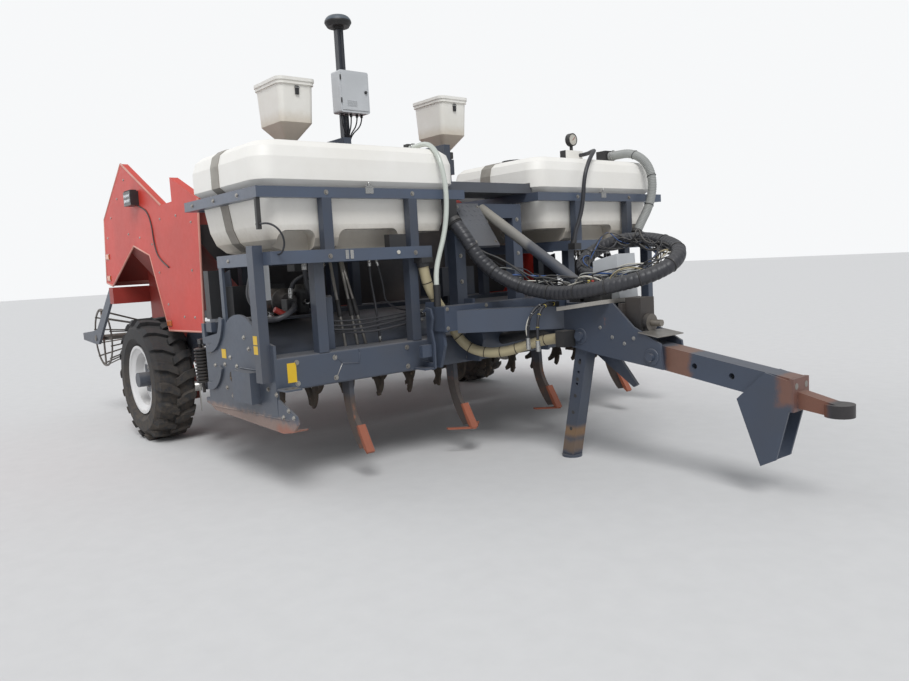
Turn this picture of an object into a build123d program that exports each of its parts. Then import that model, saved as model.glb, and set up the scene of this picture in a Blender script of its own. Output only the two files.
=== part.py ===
# Four-row trailed potato planter with a front tiller, two liquid tanks and a seed hopper.
# Millimetres, +X forward to the hitch, +Y left, +Z up, origin on the ground at the centre of the box.
import os
from math import cos, pi, radians, sin, tan

from build123d import *

os.makedirs("parts", exist_ok=True)

# Overall datum and row layout
RAIL_X = 912.5                # front face of the tank rails
ROW_PITCH = 750
ROWS = [-1.5 * ROW_PITCH, -0.5 * ROW_PITCH, 0.5 * ROW_PITCH, 1.5 * ROW_PITCH]
FURROWS = [-2 * ROW_PITCH, -ROW_PITCH, 0, ROW_PITCH, 2 * ROW_PITCH]
SEAT = 0.3                    # gap at a seat that is not flat
PIN_FIT = 0.3                 # radial play of a pin in its hole

# Front crossbeam of the tiller frame
BEAM_FRONT = RAIL_X - 60
BEAM_DEPTH = 180
BEAM_BOTTOM = 549
BEAM_TOP = 724
BEAM_REAR = BEAM_FRONT - BEAM_DEPTH

# Tiller end plates and skids
END_PLATE_T = 15
END_PLATE_IN = 1580
END_PLATE_OUT = END_PLATE_IN + END_PLATE_T
END_PLATE_REAR = RAIL_X - 945
END_ROUND_X = RAIL_X - 461
END_ROUND_Z = 656
END_ROUND_R = 287
SKID_BOTTOM = 344
SKID_HEIGHT = 66
SKID_WIDTH = 70
SKID_T = 12

# Tiller rotor and its hood
ROTOR_X = RAIL_X - 600
ROTOR_Z = 590
ROTOR_TIP_R = 270
ROTOR_SHAFT_R = 62
ROTOR_END = 1560
ROTOR_STATION = 98
ROTOR_FIRST = 110
ROTOR_STATIONS = 15
TINES_ROUND = 4
ROTOR_TWIST = 37
TINE_T = 18
JOURNAL_R = 30
HOOD_IN_R = 297
HOOD_T = 8
CASE_HALF = 60                # centre drive case
CASE_R = 78

# Rear crossbeam and main rails
REAR_BEAM_DEPTH = 165
REAR_BEAM_FRONT = END_PLATE_REAR
REAR_BEAM_REAR = REAR_BEAM_FRONT - REAR_BEAM_DEPTH
REAR_BEAM_BOTTOM = 740
REAR_BEAM_HALF = 1490
LUG_DEPTH = 40                # end plate lugs beside the beam's ends
MAIN_RAIL_TOP = 900
MAIN_RAIL_H = 100
MAIN_RAIL_W = 100
MAIN_RAIL_Y = ROW_PITCH

# Tank base, posts and rails
TUBE = 60
BASE_BOTTOM = 1200
BASE_TOP = 1266
BASE_FRONT = RAIL_X
BASE_FRONT_DEPTH = 120
BASE_REAR = RAIL_X - 1005
BASE_REAR_DEPTH = 112
BASE_IN = 584
BASE_REAR_OUT = 1400
POST_OUT = 1650
CORNER_POST_FRONT = RAIL_X - 95
CORNER_POST_DEPTH = 70
CORNER_POST_BOTTOM = 600
CORNER_POST_TOP = 1300
LOWER_POST_Y = [680, 1300]
UPPER_POST_Y = [702, 1259]
UPPER_POST_W = 57
RAIL_W = 50
RAIL_H = 54
RAIL_BOTTOM = 1533
RAIL_TOP = RAIL_BOTTOM + RAIL_H
RAIL_OUT = 1650
RAIL_IN = 314
RAIL_REAR = RAIL_X - 943

# Tanks
TANK_GAP = 5
TANK_FRONT = RAIL_X - RAIL_W - TANK_GAP
TANK_REAR = RAIL_REAR + RAIL_W + TANK_GAP
TANK_OUT = RAIL_OUT - RAIL_W - TANK_GAP
TANK_IN = RAIL_IN + RAIL_W + TANK_GAP
TANK_TOP = 1842
CAP_R = 98
CAP_H = 45
GAUGE_X = RAIL_X - 305        # gauge and valve on the left tank
GAUGE_Y = 1001
STRAP_W = 100
STRAP_T = 3
STRAP_X = RAIL_X - 520

# Drawbar
CROSS_TUBE_REAR = RAIL_X + 20
CROSS_TUBE_D = 110
CROSS_TUBE_BOTTOM = 772
CROSS_TUBE_TOP = 914
CROSS_TUBE_HALF = 620
CHEEK_T = 15
CHEEK_OUT = 100
CHEEK_IN = CHEEK_OUT - CHEEK_T
STAND_PIN_X = RAIL_X + 680
STAND_PIN_Z = 717
STAND_PIN_R = 25
DRAW_PIN_X = RAIL_X + 1149
DRAW_PIN_Z = 628
DRAW_PIN_R = 20
BAR_SIZE = 120
BAR_SLOPE = 9.5
BAR_REAR = RAIL_X + 1080
BAR_FRONT = RAIL_X + 1855
HITCH_TIP = RAIL_X + 2105
BALL_R = 40.5

# Parking stand
LEG_SIZE = 80
LEG_Y = -40
FOOT_X = RAIL_X + 530
FOOT_R = 58
FOOT_T = 14

# Wheels
WHEEL_X = RAIL_X - 2168
WHEEL_R = 440
WHEEL_Y = 1500
TYRE_W = 280
RIM_R = 229
AXLE_R = 35
LUG_COUNT = 18
BEAD = 104
ARM_T = 40
ARM_IN = 1300

# Seed hopper
HOPPER_OUT = 1500
SHEET = 6
HOPPER_IN = HOPPER_OUT - SHEET
TROUGH_FRONT = RAIL_X - 1200
TROUGH_REAR = RAIL_X - 2580
TROUGH_TOP = 1640
TROUGH_KNEE = 1400
TROUGH_FLOOR_HALF = 1100

# Cup elevators, openers and toolbar
UNIT_W = 260
UNIT_D = 300
UNIT_FRONT = TROUGH_REAR - 20
UNIT_REAR = UNIT_FRONT - UNIT_D
UNIT_BOTTOM = 480
UNIT_TOP = 1650
BELT_W = 190
BELT_T = 8
CUP_R = 27
CUP_DEPTH = 30
CUP_PITCH = 115
TOOLBAR_D = 100
TOOLBAR_BOTTOM = 975
TOOLBAR_TOP = 1105
TOOLBAR_HALF = 1540

# Cage roller
CAGE_X = RAIL_X - 3520
CAGE_Z = 675
CAGE_R = 250
CAGE_CREST_R = 120
CAGE_SHAFT_R = 25
CAGE_END = 1490
CAGE_BARS = 12
CAGE_BAR_T = 9
REAR_END = -(HITCH_TIP)


def block(x0, x1, y0, y1, z0, z1, mode=Mode.ADD):
    """Add a box between two corners to the piece being built."""
    with Locations(((x0 + x1) / 2, (y0 + y1) / 2, (z0 + z1) / 2)):
        Box(abs(x1 - x0), abs(y1 - y0), abs(z1 - z0), mode=mode)


def side_shape(points, y0, y1, mode=Mode.ADD):
    """Add a plate whose outline lies in the side view, from y0 to y1."""
    with BuildSketch(Plane.XZ.offset(-y0)) as outline:
        with BuildLine():
            Polyline(*points, close=True)
        make_face()
    extrude(outline.sketch, amount=y0 - y1, mode=mode)


def plan_shape(points, z0, z1, mode=Mode.ADD):
    """Add a plate whose outline lies in the plan view, from z0 to z1."""
    with BuildSketch(Plane.XY.offset(z0)) as outline:
        with BuildLine():
            Polyline(*points, close=True)
        make_face()
    extrude(outline.sketch, amount=z1 - z0, mode=mode)


def rod(start, end, radius, mode=Mode.ADD):
    """Add a round bar between two points."""
    way = Vector(*end) - Vector(*start)
    with BuildSketch(Plane(origin=start, z_dir=way)) as section:
        Circle(radius)
    extrude(section.sketch, amount=way.length, mode=mode)


def flat_bar(start, end, width, height, mode=Mode.ADD):
    """Add a flat bar between two points of one side view plane, its width along Y."""
    way = Vector(*end) - Vector(*start)
    with BuildSketch(Plane(origin=start, x_dir=(0, 1, 0), z_dir=way)) as section:
        Rectangle(width, height)
    extrude(section.sketch, amount=way.length, mode=mode)


def save(builder, name):
    """Label a finished piece and write it to its own file."""
    builder.part.label = name
    export_step(builder.part, f"parts/{name}.step")


def shifted(points):
    """Outline points given from the tank rails, moved into the frame."""
    return [(RAIL_X + x, z) for x, z in points]


# Front crossbeam: a closed box section between the tiller end plates
with BuildPart() as front_crossbeam:
    block(BEAM_REAR, BEAM_FRONT, -END_PLATE_IN, END_PLATE_IN, BEAM_BOTTOM, BEAM_TOP)
    fillet(front_crossbeam.edges().filter_by(Axis.Y), radius=12)

# Tiller end plates: round top, bored for the rotor journal
with BuildPart() as plate_pair:
    for side in (-1, 1):
        with BuildSketch(Plane.XZ.offset(-side * END_PLATE_IN)) as end_outline:
            with BuildLine():
                rise_x = END_ROUND_X + END_ROUND_R * cos(radians(35))
                rise_z = END_ROUND_Z + END_ROUND_R * sin(radians(35))
                fall_x = END_ROUND_X + END_ROUND_R * cos(radians(140))
                fall_z = END_ROUND_Z + END_ROUND_R * sin(radians(140))
                ThreePointArc(
                    (rise_x, rise_z), (END_ROUND_X, END_ROUND_Z + END_ROUND_R), (fall_x, fall_z)
                )
                Polyline(
                    (fall_x, fall_z),
                    (END_PLATE_REAR, 800),
                    (END_PLATE_REAR, SKID_BOTTOM + SKID_HEIGHT),
                    (RAIL_X - 60, SKID_BOTTOM + SKID_HEIGHT),
                    (RAIL_X - 60, 790),
                    (rise_x, rise_z),
                )
            make_face()
            with Locations((ROTOR_X, ROTOR_Z)):
                Circle(JOURNAL_R + PIN_FIT, mode=Mode.SUBTRACT)
        extrude(end_outline.sketch, amount=-side * END_PLATE_T)

# Skids: worn runners under the end plates, turned up at the nose
with BuildPart() as skids:
    for side in (-1, 1):
        inner = side * (END_PLATE_OUT - SKID_T)
        runner = shifted([
            (-945, SKID_BOTTOM + SKID_HEIGHT), (-945, 396), (-876, 367), (-14, SKID_BOTTOM),
            (90, 362), (145, 412), (130, 450), (-50, 515), (-60, SKID_BOTTOM + SKID_HEIGHT),
        ])
        side_shape(runner, inner, inner + side * SKID_T)
        sole = shifted([
            (-876, 367), (-14, SKID_BOTTOM), (90, 362), (100, 372), (-14, 354), (-870, 377),
        ])
        side_shape(sole, inner, inner - side * SKID_WIDTH)

# Lugs to the rear crossbeam, the stay up to the tank base, a pocket box and a bracket at the corner post
POCKET_REAR = -475
POCKET_FRONT = -243
POCKET_BOTTOM = 476
POCKET_TOP = 644
with BuildPart() as plate_fittings:
    for side in (-1, 1):
        block(REAR_BEAM_FRONT - LUG_DEPTH, REAR_BEAM_FRONT, side * REAR_BEAM_HALF, side * END_PLATE_OUT,
              760, 880)
        block(RAIL_X - 660, RAIL_X - 620, side * END_PLATE_IN, side * END_PLATE_OUT, 840, BASE_BOTTOM)
        block(RAIL_X + POCKET_REAR, RAIL_X + POCKET_FRONT, side * END_PLATE_OUT, side * POST_OUT,
              POCKET_BOTTOM, POCKET_TOP)
        tail = shifted([(-1000, 402), (-1000, 432), (-940, 432), (-940, 394)])
        side_shape(tail, side * END_PLATE_IN, side * END_PLATE_OUT)
with BuildPart() as tiller_end_plates:
    add([plate_pair.part, skids.part, plate_fittings.part])
save(tiller_end_plates, "tiller_end_plates")

# Hood over the rotor, in two halves beside the centre drive case
with BuildPart() as tiller_hood:
    for side in (-1, 1):
        with BuildSketch(Plane.XZ.offset(-side * (CASE_HALF + SEAT))) as hood_outline:
            with Locations((ROTOR_X, ROTOR_Z)):
                Circle(HOOD_IN_R + HOOD_T)
                Circle(HOOD_IN_R, mode=Mode.SUBTRACT)
            with Locations((ROTOR_X, ROTOR_Z - 400 - 40)):
                Rectangle(1000, 800, mode=Mode.SUBTRACT)
        extrude(hood_outline.sketch, amount=-side * (END_PLATE_IN - CASE_HALF - SEAT))
save(tiller_hood, "tiller_hood")

# Centre drive case with the gearbox on top and the drive shaft going forward
with BuildPart() as tiller_drive:
    with BuildSketch(Plane.XZ.offset(CASE_HALF)) as case_outline:
        with Locations((ROTOR_X, ROTOR_Z)):
            Circle(CASE_R)
        with Locations((ROTOR_X, ROTOR_Z + 180)):
            Rectangle(2 * CASE_R, 360)
        with Locations((ROTOR_X, ROTOR_Z)):
            Circle(JOURNAL_R + 15, mode=Mode.SUBTRACT)
    extrude(case_outline.sketch, amount=-2 * CASE_HALF)
    block(ROTOR_X - 120, ROTOR_X + 130, -140, 140, ROTOR_Z + 350, ROTOR_Z + 540)
    rod((ROTOR_X + CASE_R, 0, ROTOR_Z + 100), (BEAM_REAR, 0, ROTOR_Z + 100), JOURNAL_R)
save(tiller_drive, "tiller_drive")

# Rotor: shaft with hooked tines, four round each station
with BuildPart() as hook:
    with BuildSketch(Plane.XZ.offset(-TINE_T / 2)) as hook_outline:
        with BuildLine():
            Polyline((ROTOR_SHAFT_R - 8, -24), (ROTOR_SHAFT_R - 8, 24), (150, 20))
            ThreePointArc((150, 20), (215, 2), (ROTOR_TIP_R - 6, -52))
            Polyline((ROTOR_TIP_R - 6, -52), (ROTOR_TIP_R - 28, -62))
            ThreePointArc((ROTOR_TIP_R - 28, -62), (200, -34), (150, -24))
            Polyline((150, -24), (ROTOR_SHAFT_R - 8, -24))
        make_face()
    extrude(hook_outline.sketch, amount=TINE_T)
with BuildPart() as tiller_rotor:
    for side in (-1, 1):
        rod((ROTOR_X, side * 75, ROTOR_Z), (ROTOR_X, side * ROTOR_END, ROTOR_Z), ROTOR_SHAFT_R)
    rod((ROTOR_X, -END_PLATE_OUT, ROTOR_Z), (ROTOR_X, END_PLATE_OUT, ROTOR_Z), JOURNAL_R)
    places = [
        Location((ROTOR_X, side * (ROTOR_FIRST + step * ROTOR_STATION), ROTOR_Z),
                 (0, tine * 360 / TINES_ROUND + side * step * ROTOR_TWIST, 0))
        for side in (-1, 1) for step in range(ROTOR_STATIONS) for tine in range(TINES_ROUND)
    ]
    add([hook.part.moved(place) for place in places])
save(tiller_rotor, "tiller_rotor")

# Loosener shanks under the crossbeam, one in front of each row
SHANK_T = 30
SHARE_TOP = (-38, 300)
SHARE_LOW = (22, 182)
with BuildPart() as loosener_shanks:
    for row in ROWS:
        with BuildSketch(Plane.XZ.offset(-row + SHANK_T / 2)) as shank_outline:
            with BuildLine():
                Polyline(*shifted([(-170, BEAM_BOTTOM), (-100, BEAM_BOTTOM), (-95, 440)]))
                ThreePointArc(*shifted([(-95, 440), (-78, 364), SHARE_TOP]))
                Polyline(*shifted([SHARE_TOP, SHARE_LOW, (-34, 172)]))
                ThreePointArc(*shifted([(-34, 172), (-135, 330), (-170, BEAM_BOTTOM)]))
            make_face()
        extrude(shank_outline.sketch, amount=-SHANK_T)
save(loosener_shanks, "loosener_shanks")

# Loosener shares: a narrow point on the outer rows, a winged one on the inner rows
with BuildPart() as loosener_shares:
    for row in ROWS:
        point = shifted([SHARE_TOP, (SHARE_TOP[0] + 16, 306), (60, 168), (50, 158), SHARE_LOW])
        side_shape(point, row - 24, row + 24)
        if abs(row) < ROW_PITCH:
            wing = [(RAIL_X + x, row + y) for x, y in
                    [(68, 0), (-45, 125), (-70, 118), (12, 24), (12, -24), (-70, -118), (-45, -125)]]
            plan_shape(wing, 158, 168)
save(loosener_shares, "loosener_shares")

# Rear crossbeam behind the tiller
with BuildPart() as rear_crossbeam:
    block(REAR_BEAM_REAR, REAR_BEAM_FRONT, -REAR_BEAM_HALF, REAR_BEAM_HALF, REAR_BEAM_BOTTOM, MAIN_RAIL_TOP)

# Main rails back to the planting units
RAIL_END = UNIT_REAR - TOOLBAR_D
with BuildPart() as main_rails:
    for side in (-1, 1):
        mid = side * MAIN_RAIL_Y
        block(RAIL_END, REAR_BEAM_REAR, mid - MAIN_RAIL_W / 2, mid + MAIN_RAIL_W / 2,
              MAIN_RAIL_TOP - MAIN_RAIL_H, MAIN_RAIL_TOP)
save(main_rails, "main_rails")

# Corner posts of the tiller frame
with BuildPart() as corner_posts:
    for side in (-1, 1):
        block(CORNER_POST_FRONT - CORNER_POST_DEPTH, CORNER_POST_FRONT,
              side * END_PLATE_OUT, side * POST_OUT, CORNER_POST_BOTTOM, CORNER_POST_TOP)

# Lower posts between the crossbeams and the tank base
with BuildPart() as lower_posts:
    for side in (-1, 1):
        for post_y in LOWER_POST_Y:
            left, right = side * post_y - TUBE / 2, side * post_y + TUBE / 2
            block(BEAM_FRONT - TUBE, BEAM_FRONT, left, right, BEAM_TOP, BASE_BOTTOM)
            block(BASE_REAR, BASE_REAR + TUBE, left, right, MAIN_RAIL_TOP, BASE_BOTTOM)

# Tank base: cross members and side members under each tank
with BuildPart() as tank_base_cross:
    for side in (-1, 1):
        block(BASE_FRONT - BASE_FRONT_DEPTH, BASE_FRONT, side * BASE_IN, side * END_PLATE_OUT,
              BASE_BOTTOM, BASE_TOP)
        block(BASE_REAR, BASE_REAR + BASE_REAR_DEPTH, side * BASE_IN, side * BASE_REAR_OUT,
              BASE_BOTTOM, BASE_TOP)

with BuildPart() as tank_base_sides:
    for side in (-1, 1):
        for edge, start in ((BASE_IN, BASE_REAR + BASE_REAR_DEPTH), (END_PLATE_OUT - TUBE, RAIL_X - 672)):
            block(start, BASE_FRONT - BASE_FRONT_DEPTH,
                  side * edge, side * (edge + TUBE), BASE_BOTTOM, BASE_TOP)

# Upper posts from the tank base to the rails
with BuildPart() as upper_posts:
    for side in (-1, 1):
        for post_y in UPPER_POST_Y:
            left, right = side * post_y - UPPER_POST_W / 2, side * post_y + UPPER_POST_W / 2
            block(RAIL_X - RAIL_W, RAIL_X, left, right, BASE_TOP, RAIL_BOTTOM)
            block(RAIL_REAR, RAIL_REAR + RAIL_W, left, right, BASE_TOP, RAIL_BOTTOM)
with BuildPart() as frame_posts:
    add([corner_posts.part, lower_posts.part, upper_posts.part])
save(frame_posts, "frame_posts")

# Tank rails: a rectangular ring round each tank, as cross and side pieces
with BuildPart() as tank_rail_cross:
    for side in (-1, 1):
        block(RAIL_X - RAIL_W, RAIL_X, side * RAIL_IN, side * RAIL_OUT, RAIL_BOTTOM, RAIL_TOP)
        block(RAIL_REAR, RAIL_REAR + RAIL_W, side * RAIL_IN, side * RAIL_OUT, RAIL_BOTTOM, RAIL_TOP)
with BuildPart() as tank_cross_members:
    add([tank_base_cross.part, tank_rail_cross.part])
save(tank_cross_members, "tank_cross_members")

with BuildPart() as tank_rail_sides:
    for side in (-1, 1):
        for edge in (RAIL_IN, RAIL_OUT - RAIL_W):
            block(RAIL_REAR + RAIL_W, RAIL_X - RAIL_W, side * edge, side * (edge + RAIL_W),
                  RAIL_BOTTOM, RAIL_TOP)
with BuildPart() as tank_side_members:
    add([tank_base_sides.part, tank_rail_sides.part])
save(tank_side_members, "tank_side_members")

# Tanks: straight lofts between rounded rectangles, columns are height, end inset, side inset, corner
TANK_SECTIONS = [
    (BASE_TOP, 170, 90, 60),
    (BASE_TOP + 20, 105, 50, 80),
    (BASE_TOP + 64, 55, 28, 90),
    (BASE_TOP + 134, 26, 14, 100),
    (RAIL_BOTTOM, 6, 6, 100),
    (RAIL_TOP + 6, 6, 6, 100),
    (RAIL_TOP + 40, -34, -25, 100),
    (TANK_TOP - 102, -34, -25, 100),
    (TANK_TOP - 47, -18, -12, 100),
    (TANK_TOP - 18, 18, 18, 90),
    (TANK_TOP - 6, 75, 60, 80),
    (TANK_TOP, 160, 120, 60),
]
TANK_NOTCHES = [(955, 390), (1400, 210)]
NOTCH_H = 108


def tank_half(z):
    """Half width of the tank across the machine at a height, by its sections."""
    half = (TANK_OUT - TANK_IN) / 2
    for low, high in zip(TANK_SECTIONS, TANK_SECTIONS[1:]):
        if low[0] <= z <= high[0]:
            share = (z - low[0]) / (high[0] - low[0])
            return half - (low[1] + share * (high[1] - low[1]))
    return half


WALK_HALF = RAIL_IN + RAIL_W - 2
WALK_H = 62
TANK_MID_Y = (TANK_IN + TANK_OUT) / 2
TANK_MID_X = (TANK_FRONT + TANK_REAR) / 2
with BuildPart() as tank_right:
    for height, end_inset, side_inset, corner in TANK_SECTIONS:
        with BuildSketch(Plane.XY.offset(height)):
            with Locations((TANK_MID_X, -TANK_MID_Y)):
                RectangleRounded(
                    TANK_FRONT - TANK_REAR - 2 * side_inset,
                    TANK_OUT - TANK_IN - 2 * end_inset,
                    corner,
                )
    loft(ruled=True)
    with BuildSketch(Plane.YZ.offset(TANK_FRONT - 110)) as notches:
        for notch_y, notch_w in TANK_NOTCHES:
            with Locations((-notch_y, BASE_TOP)):
                RectangleRounded(notch_w, 2 * NOTCH_H, 45)
    extrude(notches.sketch, amount=150, mode=Mode.SUBTRACT)
    block(TANK_REAR - 40, TANK_FRONT + 40, -TANK_IN - 285, -TANK_IN + 60, BASE_TOP - 1, BASE_TOP + 90,
          mode=Mode.SUBTRACT)
    block(RAIL_X - 467, RAIL_X - 95, -WALK_HALF - 5, 0, RAIL_TOP - 1, RAIL_TOP + WALK_H + 5,
          mode=Mode.SUBTRACT)
    with Locations((RAIL_X - 672, -TANK_MID_Y + 200, TANK_TOP + CAP_H / 2)):
        Cylinder(CAP_R, CAP_H)
with BuildPart() as tanks:
    add(tank_right.part)
    mirror(tank_right.part, about=Plane.XZ)
    block(RAIL_X - 330, RAIL_X - 290, -500, -460, TANK_TOP - 60, TANK_TOP + 48)
    block(RAIL_X - 380, RAIL_X - 290, 1370, 1470, TANK_TOP - 90, TANK_TOP + 100)
    block(GAUGE_X - 30, GAUGE_X + 30, GAUGE_Y - 90, GAUGE_Y + 90, TANK_TOP - 30, TANK_TOP + 80)
    rod((GAUGE_X, GAUGE_Y, TANK_TOP + 70), (GAUGE_X, GAUGE_Y, TANK_TOP + 130), 12)
    rod((GAUGE_X - 16, GAUGE_Y, TANK_TOP + 160), (GAUGE_X + 16, GAUGE_Y, TANK_TOP + 160), 46)
save(tanks, "tanks")

# Straps: a steel band over each tank, seen in the end view
with BuildPart() as tank_straps:
    for side in (-1, 1):
        loop = [(side * TANK_MID_Y + tank_half(z), z) for z in [row[0] for row in TANK_SECTIONS]]
        loop += [(2 * side * TANK_MID_Y - y, z) for y, z in reversed(loop)]
        with BuildSketch(Plane.YZ.offset(STRAP_X - STRAP_W / 2)) as band:
            with BuildLine():
                Polyline(*loop, close=True)
            make_face()
            offset(amount=SEAT + STRAP_T, kind=Kind.INTERSECTION)
            with BuildSketch(Plane.YZ.offset(STRAP_X - STRAP_W / 2), mode=Mode.SUBTRACT):
                with BuildLine():
                    Polyline(*loop, close=True)
                make_face()
                offset(amount=SEAT, kind=Kind.INTERSECTION)
            with Locations((side * TANK_MID_Y, BASE_TOP - 50)):
                Rectangle(3000, 130, mode=Mode.SUBTRACT)
        extrude(band.sketch, amount=STRAP_W)
save(tank_straps, "tank_straps")

# Walkway step across the gap between the tanks
with BuildPart() as walkway:
    block(RAIL_X - 462, RAIL_X - 100, -WALK_HALF, WALK_HALF, RAIL_TOP, RAIL_TOP + WALK_H)

# Headstock posts and top tube between the tanks
HEAD_Y = 250
HEAD_W = 80
HEAD_TOP = 1520
HEAD_IN = HEAD_Y - HEAD_W / 2
with BuildPart() as headstock:
    for side in (-1, 1):
        block(BEAM_REAR + 20, BEAM_REAR + 100, side * HEAD_IN, side * (HEAD_IN + HEAD_W), BEAM_TOP, HEAD_TOP)
    block(BEAM_REAR + 20, BEAM_REAR + 100, -HEAD_IN, HEAD_IN, HEAD_TOP - 90, HEAD_TOP)
save(headstock, "headstock")

# Sloping tread panel in front of the headstock, right of the middle
PANEL_Y = (-300, -100)
with BuildPart() as tread_panel:
    side_shape(
        [(BEAM_REAR + 100, HEAD_TOP), (BEAM_REAR + 100, HEAD_TOP - 120), (RAIL_X + 50, 1240),
         (RAIL_X + 62, 1252), (BEAM_REAR + 112, HEAD_TOP)],
        PANEL_Y[0], PANEL_Y[1],
    )
with BuildPart() as tread_plates:
    add(walkway.part)
    add(tread_panel.part)
save(tread_plates, "tread_plates")

# Drawbar cross tube and the plates that carry it
with BuildPart() as drawbar_cross_tube:
    block(CROSS_TUBE_REAR, CROSS_TUBE_REAR + CROSS_TUBE_D, -CROSS_TUBE_HALF, CROSS_TUBE_HALF,
          CROSS_TUBE_BOTTOM, CROSS_TUBE_TOP)
BRACKET_Y = [300, 600]
BRACKET_T = 20
with BuildPart() as drawbar_brackets:
    for side in (-1, 1):
        for bracket_y in BRACKET_Y:
            outline = [
                (BEAM_FRONT, 940), (CROSS_TUBE_REAR, 940), (CROSS_TUBE_REAR, CROSS_TUBE_BOTTOM),
                (CROSS_TUBE_REAR + 70, CROSS_TUBE_BOTTOM), (CROSS_TUBE_REAR + 80, 690),
                (CROSS_TUBE_REAR + 30, 560), (BEAM_FRONT, 560),
            ]
            side_shape(outline, side * bracket_y - BRACKET_T / 2, side * bracket_y + BRACKET_T / 2)
with BuildPart() as drawbar_mount:
    add(drawbar_cross_tube.part)
    add(drawbar_brackets.part)
save(drawbar_mount, "drawbar_mount")

# Drawbar arms: from the cross tube in to the cheeks
ARM_TOP = 885
CROSS_TUBE_FRONT = CROSS_TUBE_REAR + CROSS_TUBE_D
with BuildPart() as drawbar_arms:
    for side in (-1, 1):
        plan = [
            (CROSS_TUBE_FRONT, side * 530), (CROSS_TUBE_FRONT, side * 400),
            (RAIL_X + 405, side * CHEEK_OUT), (RAIL_X + 560, side * CHEEK_OUT),
        ]
        plan_shape(plan, 755, ARM_TOP)
save(drawbar_arms, "drawbar_arms")

# Drawbar cheeks: two plates with the pins through them
with BuildPart() as drawbar_cheeks:
    cheek = shifted([(395, 745), (410, 840), (906, 903), (1038, 779), (1202, 698), (1216, 566),
                     (810, 618), (600, 655)])
    side_shape(cheek, -CHEEK_OUT, -CHEEK_IN)
    side_shape(cheek, CHEEK_IN, CHEEK_OUT)
    rod((STAND_PIN_X, -CHEEK_OUT - 25, STAND_PIN_Z), (STAND_PIN_X, CHEEK_OUT + 25, STAND_PIN_Z), STAND_PIN_R)
    rod((STAND_PIN_X, LEG_Y + LEG_SIZE / 2 + 1, STAND_PIN_Z), (STAND_PIN_X, CHEEK_IN, STAND_PIN_Z),
        STAND_PIN_R + 12)
    rod((DRAW_PIN_X, -CHEEK_OUT - 25, DRAW_PIN_Z), (DRAW_PIN_X, CHEEK_OUT + 25, DRAW_PIN_Z), DRAW_PIN_R)
    rest = shifted([(640, 700), (720, 700), (930, 440), (905, 425), (640, 600)])
    side_shape(rest, CHEEK_IN - 20, CHEEK_IN)
save(drawbar_cheeks, "drawbar_cheeks")


def bar_mid(x):
    """Height of the telescopic bar's centre line at a station."""
    return DRAW_PIN_Z - (x - DRAW_PIN_X) * tan(radians(BAR_SLOPE))


# Telescopic bar, sloping down to the hitch, with its row of pin holes
HOLE_R = 15
HOLE_X = [RAIL_X + 1370, RAIL_X + 1570]
with BuildPart() as drawbar_bar:
    rise = BAR_SIZE / 2 / cos(radians(BAR_SLOPE))
    side_shape(
        [(BAR_REAR, bar_mid(BAR_REAR) + rise), (BAR_FRONT, bar_mid(BAR_FRONT) + rise),
         (BAR_FRONT, bar_mid(BAR_FRONT) - rise), (BAR_REAR, bar_mid(BAR_REAR) - rise)],
        -BAR_SIZE / 2, BAR_SIZE / 2,
    )
    rod((DRAW_PIN_X, -BAR_SIZE, DRAW_PIN_Z), (DRAW_PIN_X, BAR_SIZE, DRAW_PIN_Z), DRAW_PIN_R + PIN_FIT,
        mode=Mode.SUBTRACT)
    for hole_x in HOLE_X:
        rod((hole_x, -BAR_SIZE, bar_mid(hole_x)), (hole_x, BAR_SIZE, bar_mid(hole_x)), HOLE_R,
            mode=Mode.SUBTRACT)

# Hitch plates under the front end of the bar
HITCH_PLATE_T = 12
HITCH_FACE_T = 20
with BuildPart() as hitch_plates:
    hitch_side = shifted([(1600, 455), (1714, 150), (1790, 190), (1855, 430), (1855, 560), (1740, 590)])
    for side in (-1, 1):
        inner = side * BAR_SIZE / 2
        outer = inner + side * HITCH_PLATE_T
        side_shape(hitch_side, inner, outer)
    block(BAR_FRONT, BAR_FRONT + HITCH_FACE_T, -BAR_SIZE / 2 - HITCH_PLATE_T, BAR_SIZE / 2 + HITCH_PLATE_T,
          420, 570)

# Ball coupling: a spoon with the ball socket underneath
NECK_H = 56
COUPLING_R = 62
COUPLING_X = HITCH_TIP - COUPLING_R
COUPLING_Z = 440
with BuildPart() as ball_coupling:
    neck = [(BAR_FRONT + HITCH_FACE_T, COUPLING_Z + 70), (COUPLING_X, COUPLING_Z + NECK_H / 2),
            (COUPLING_X, COUPLING_Z - NECK_H / 2), (BAR_FRONT + HITCH_FACE_T, COUPLING_Z - 5)]
    side_shape(neck, -38, 38)
    with Locations((COUPLING_X, 0, COUPLING_Z)):
        Cylinder(COUPLING_R, NECK_H)
    with Locations((COUPLING_X, 0, COUPLING_Z - NECK_H / 2)):
        Sphere(BALL_R, mode=Mode.SUBTRACT)
with BuildPart() as telescopic_bar:
    add([drawbar_bar.part, hitch_plates.part, ball_coupling.part])
save(telescopic_bar, "telescopic_bar")

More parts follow.
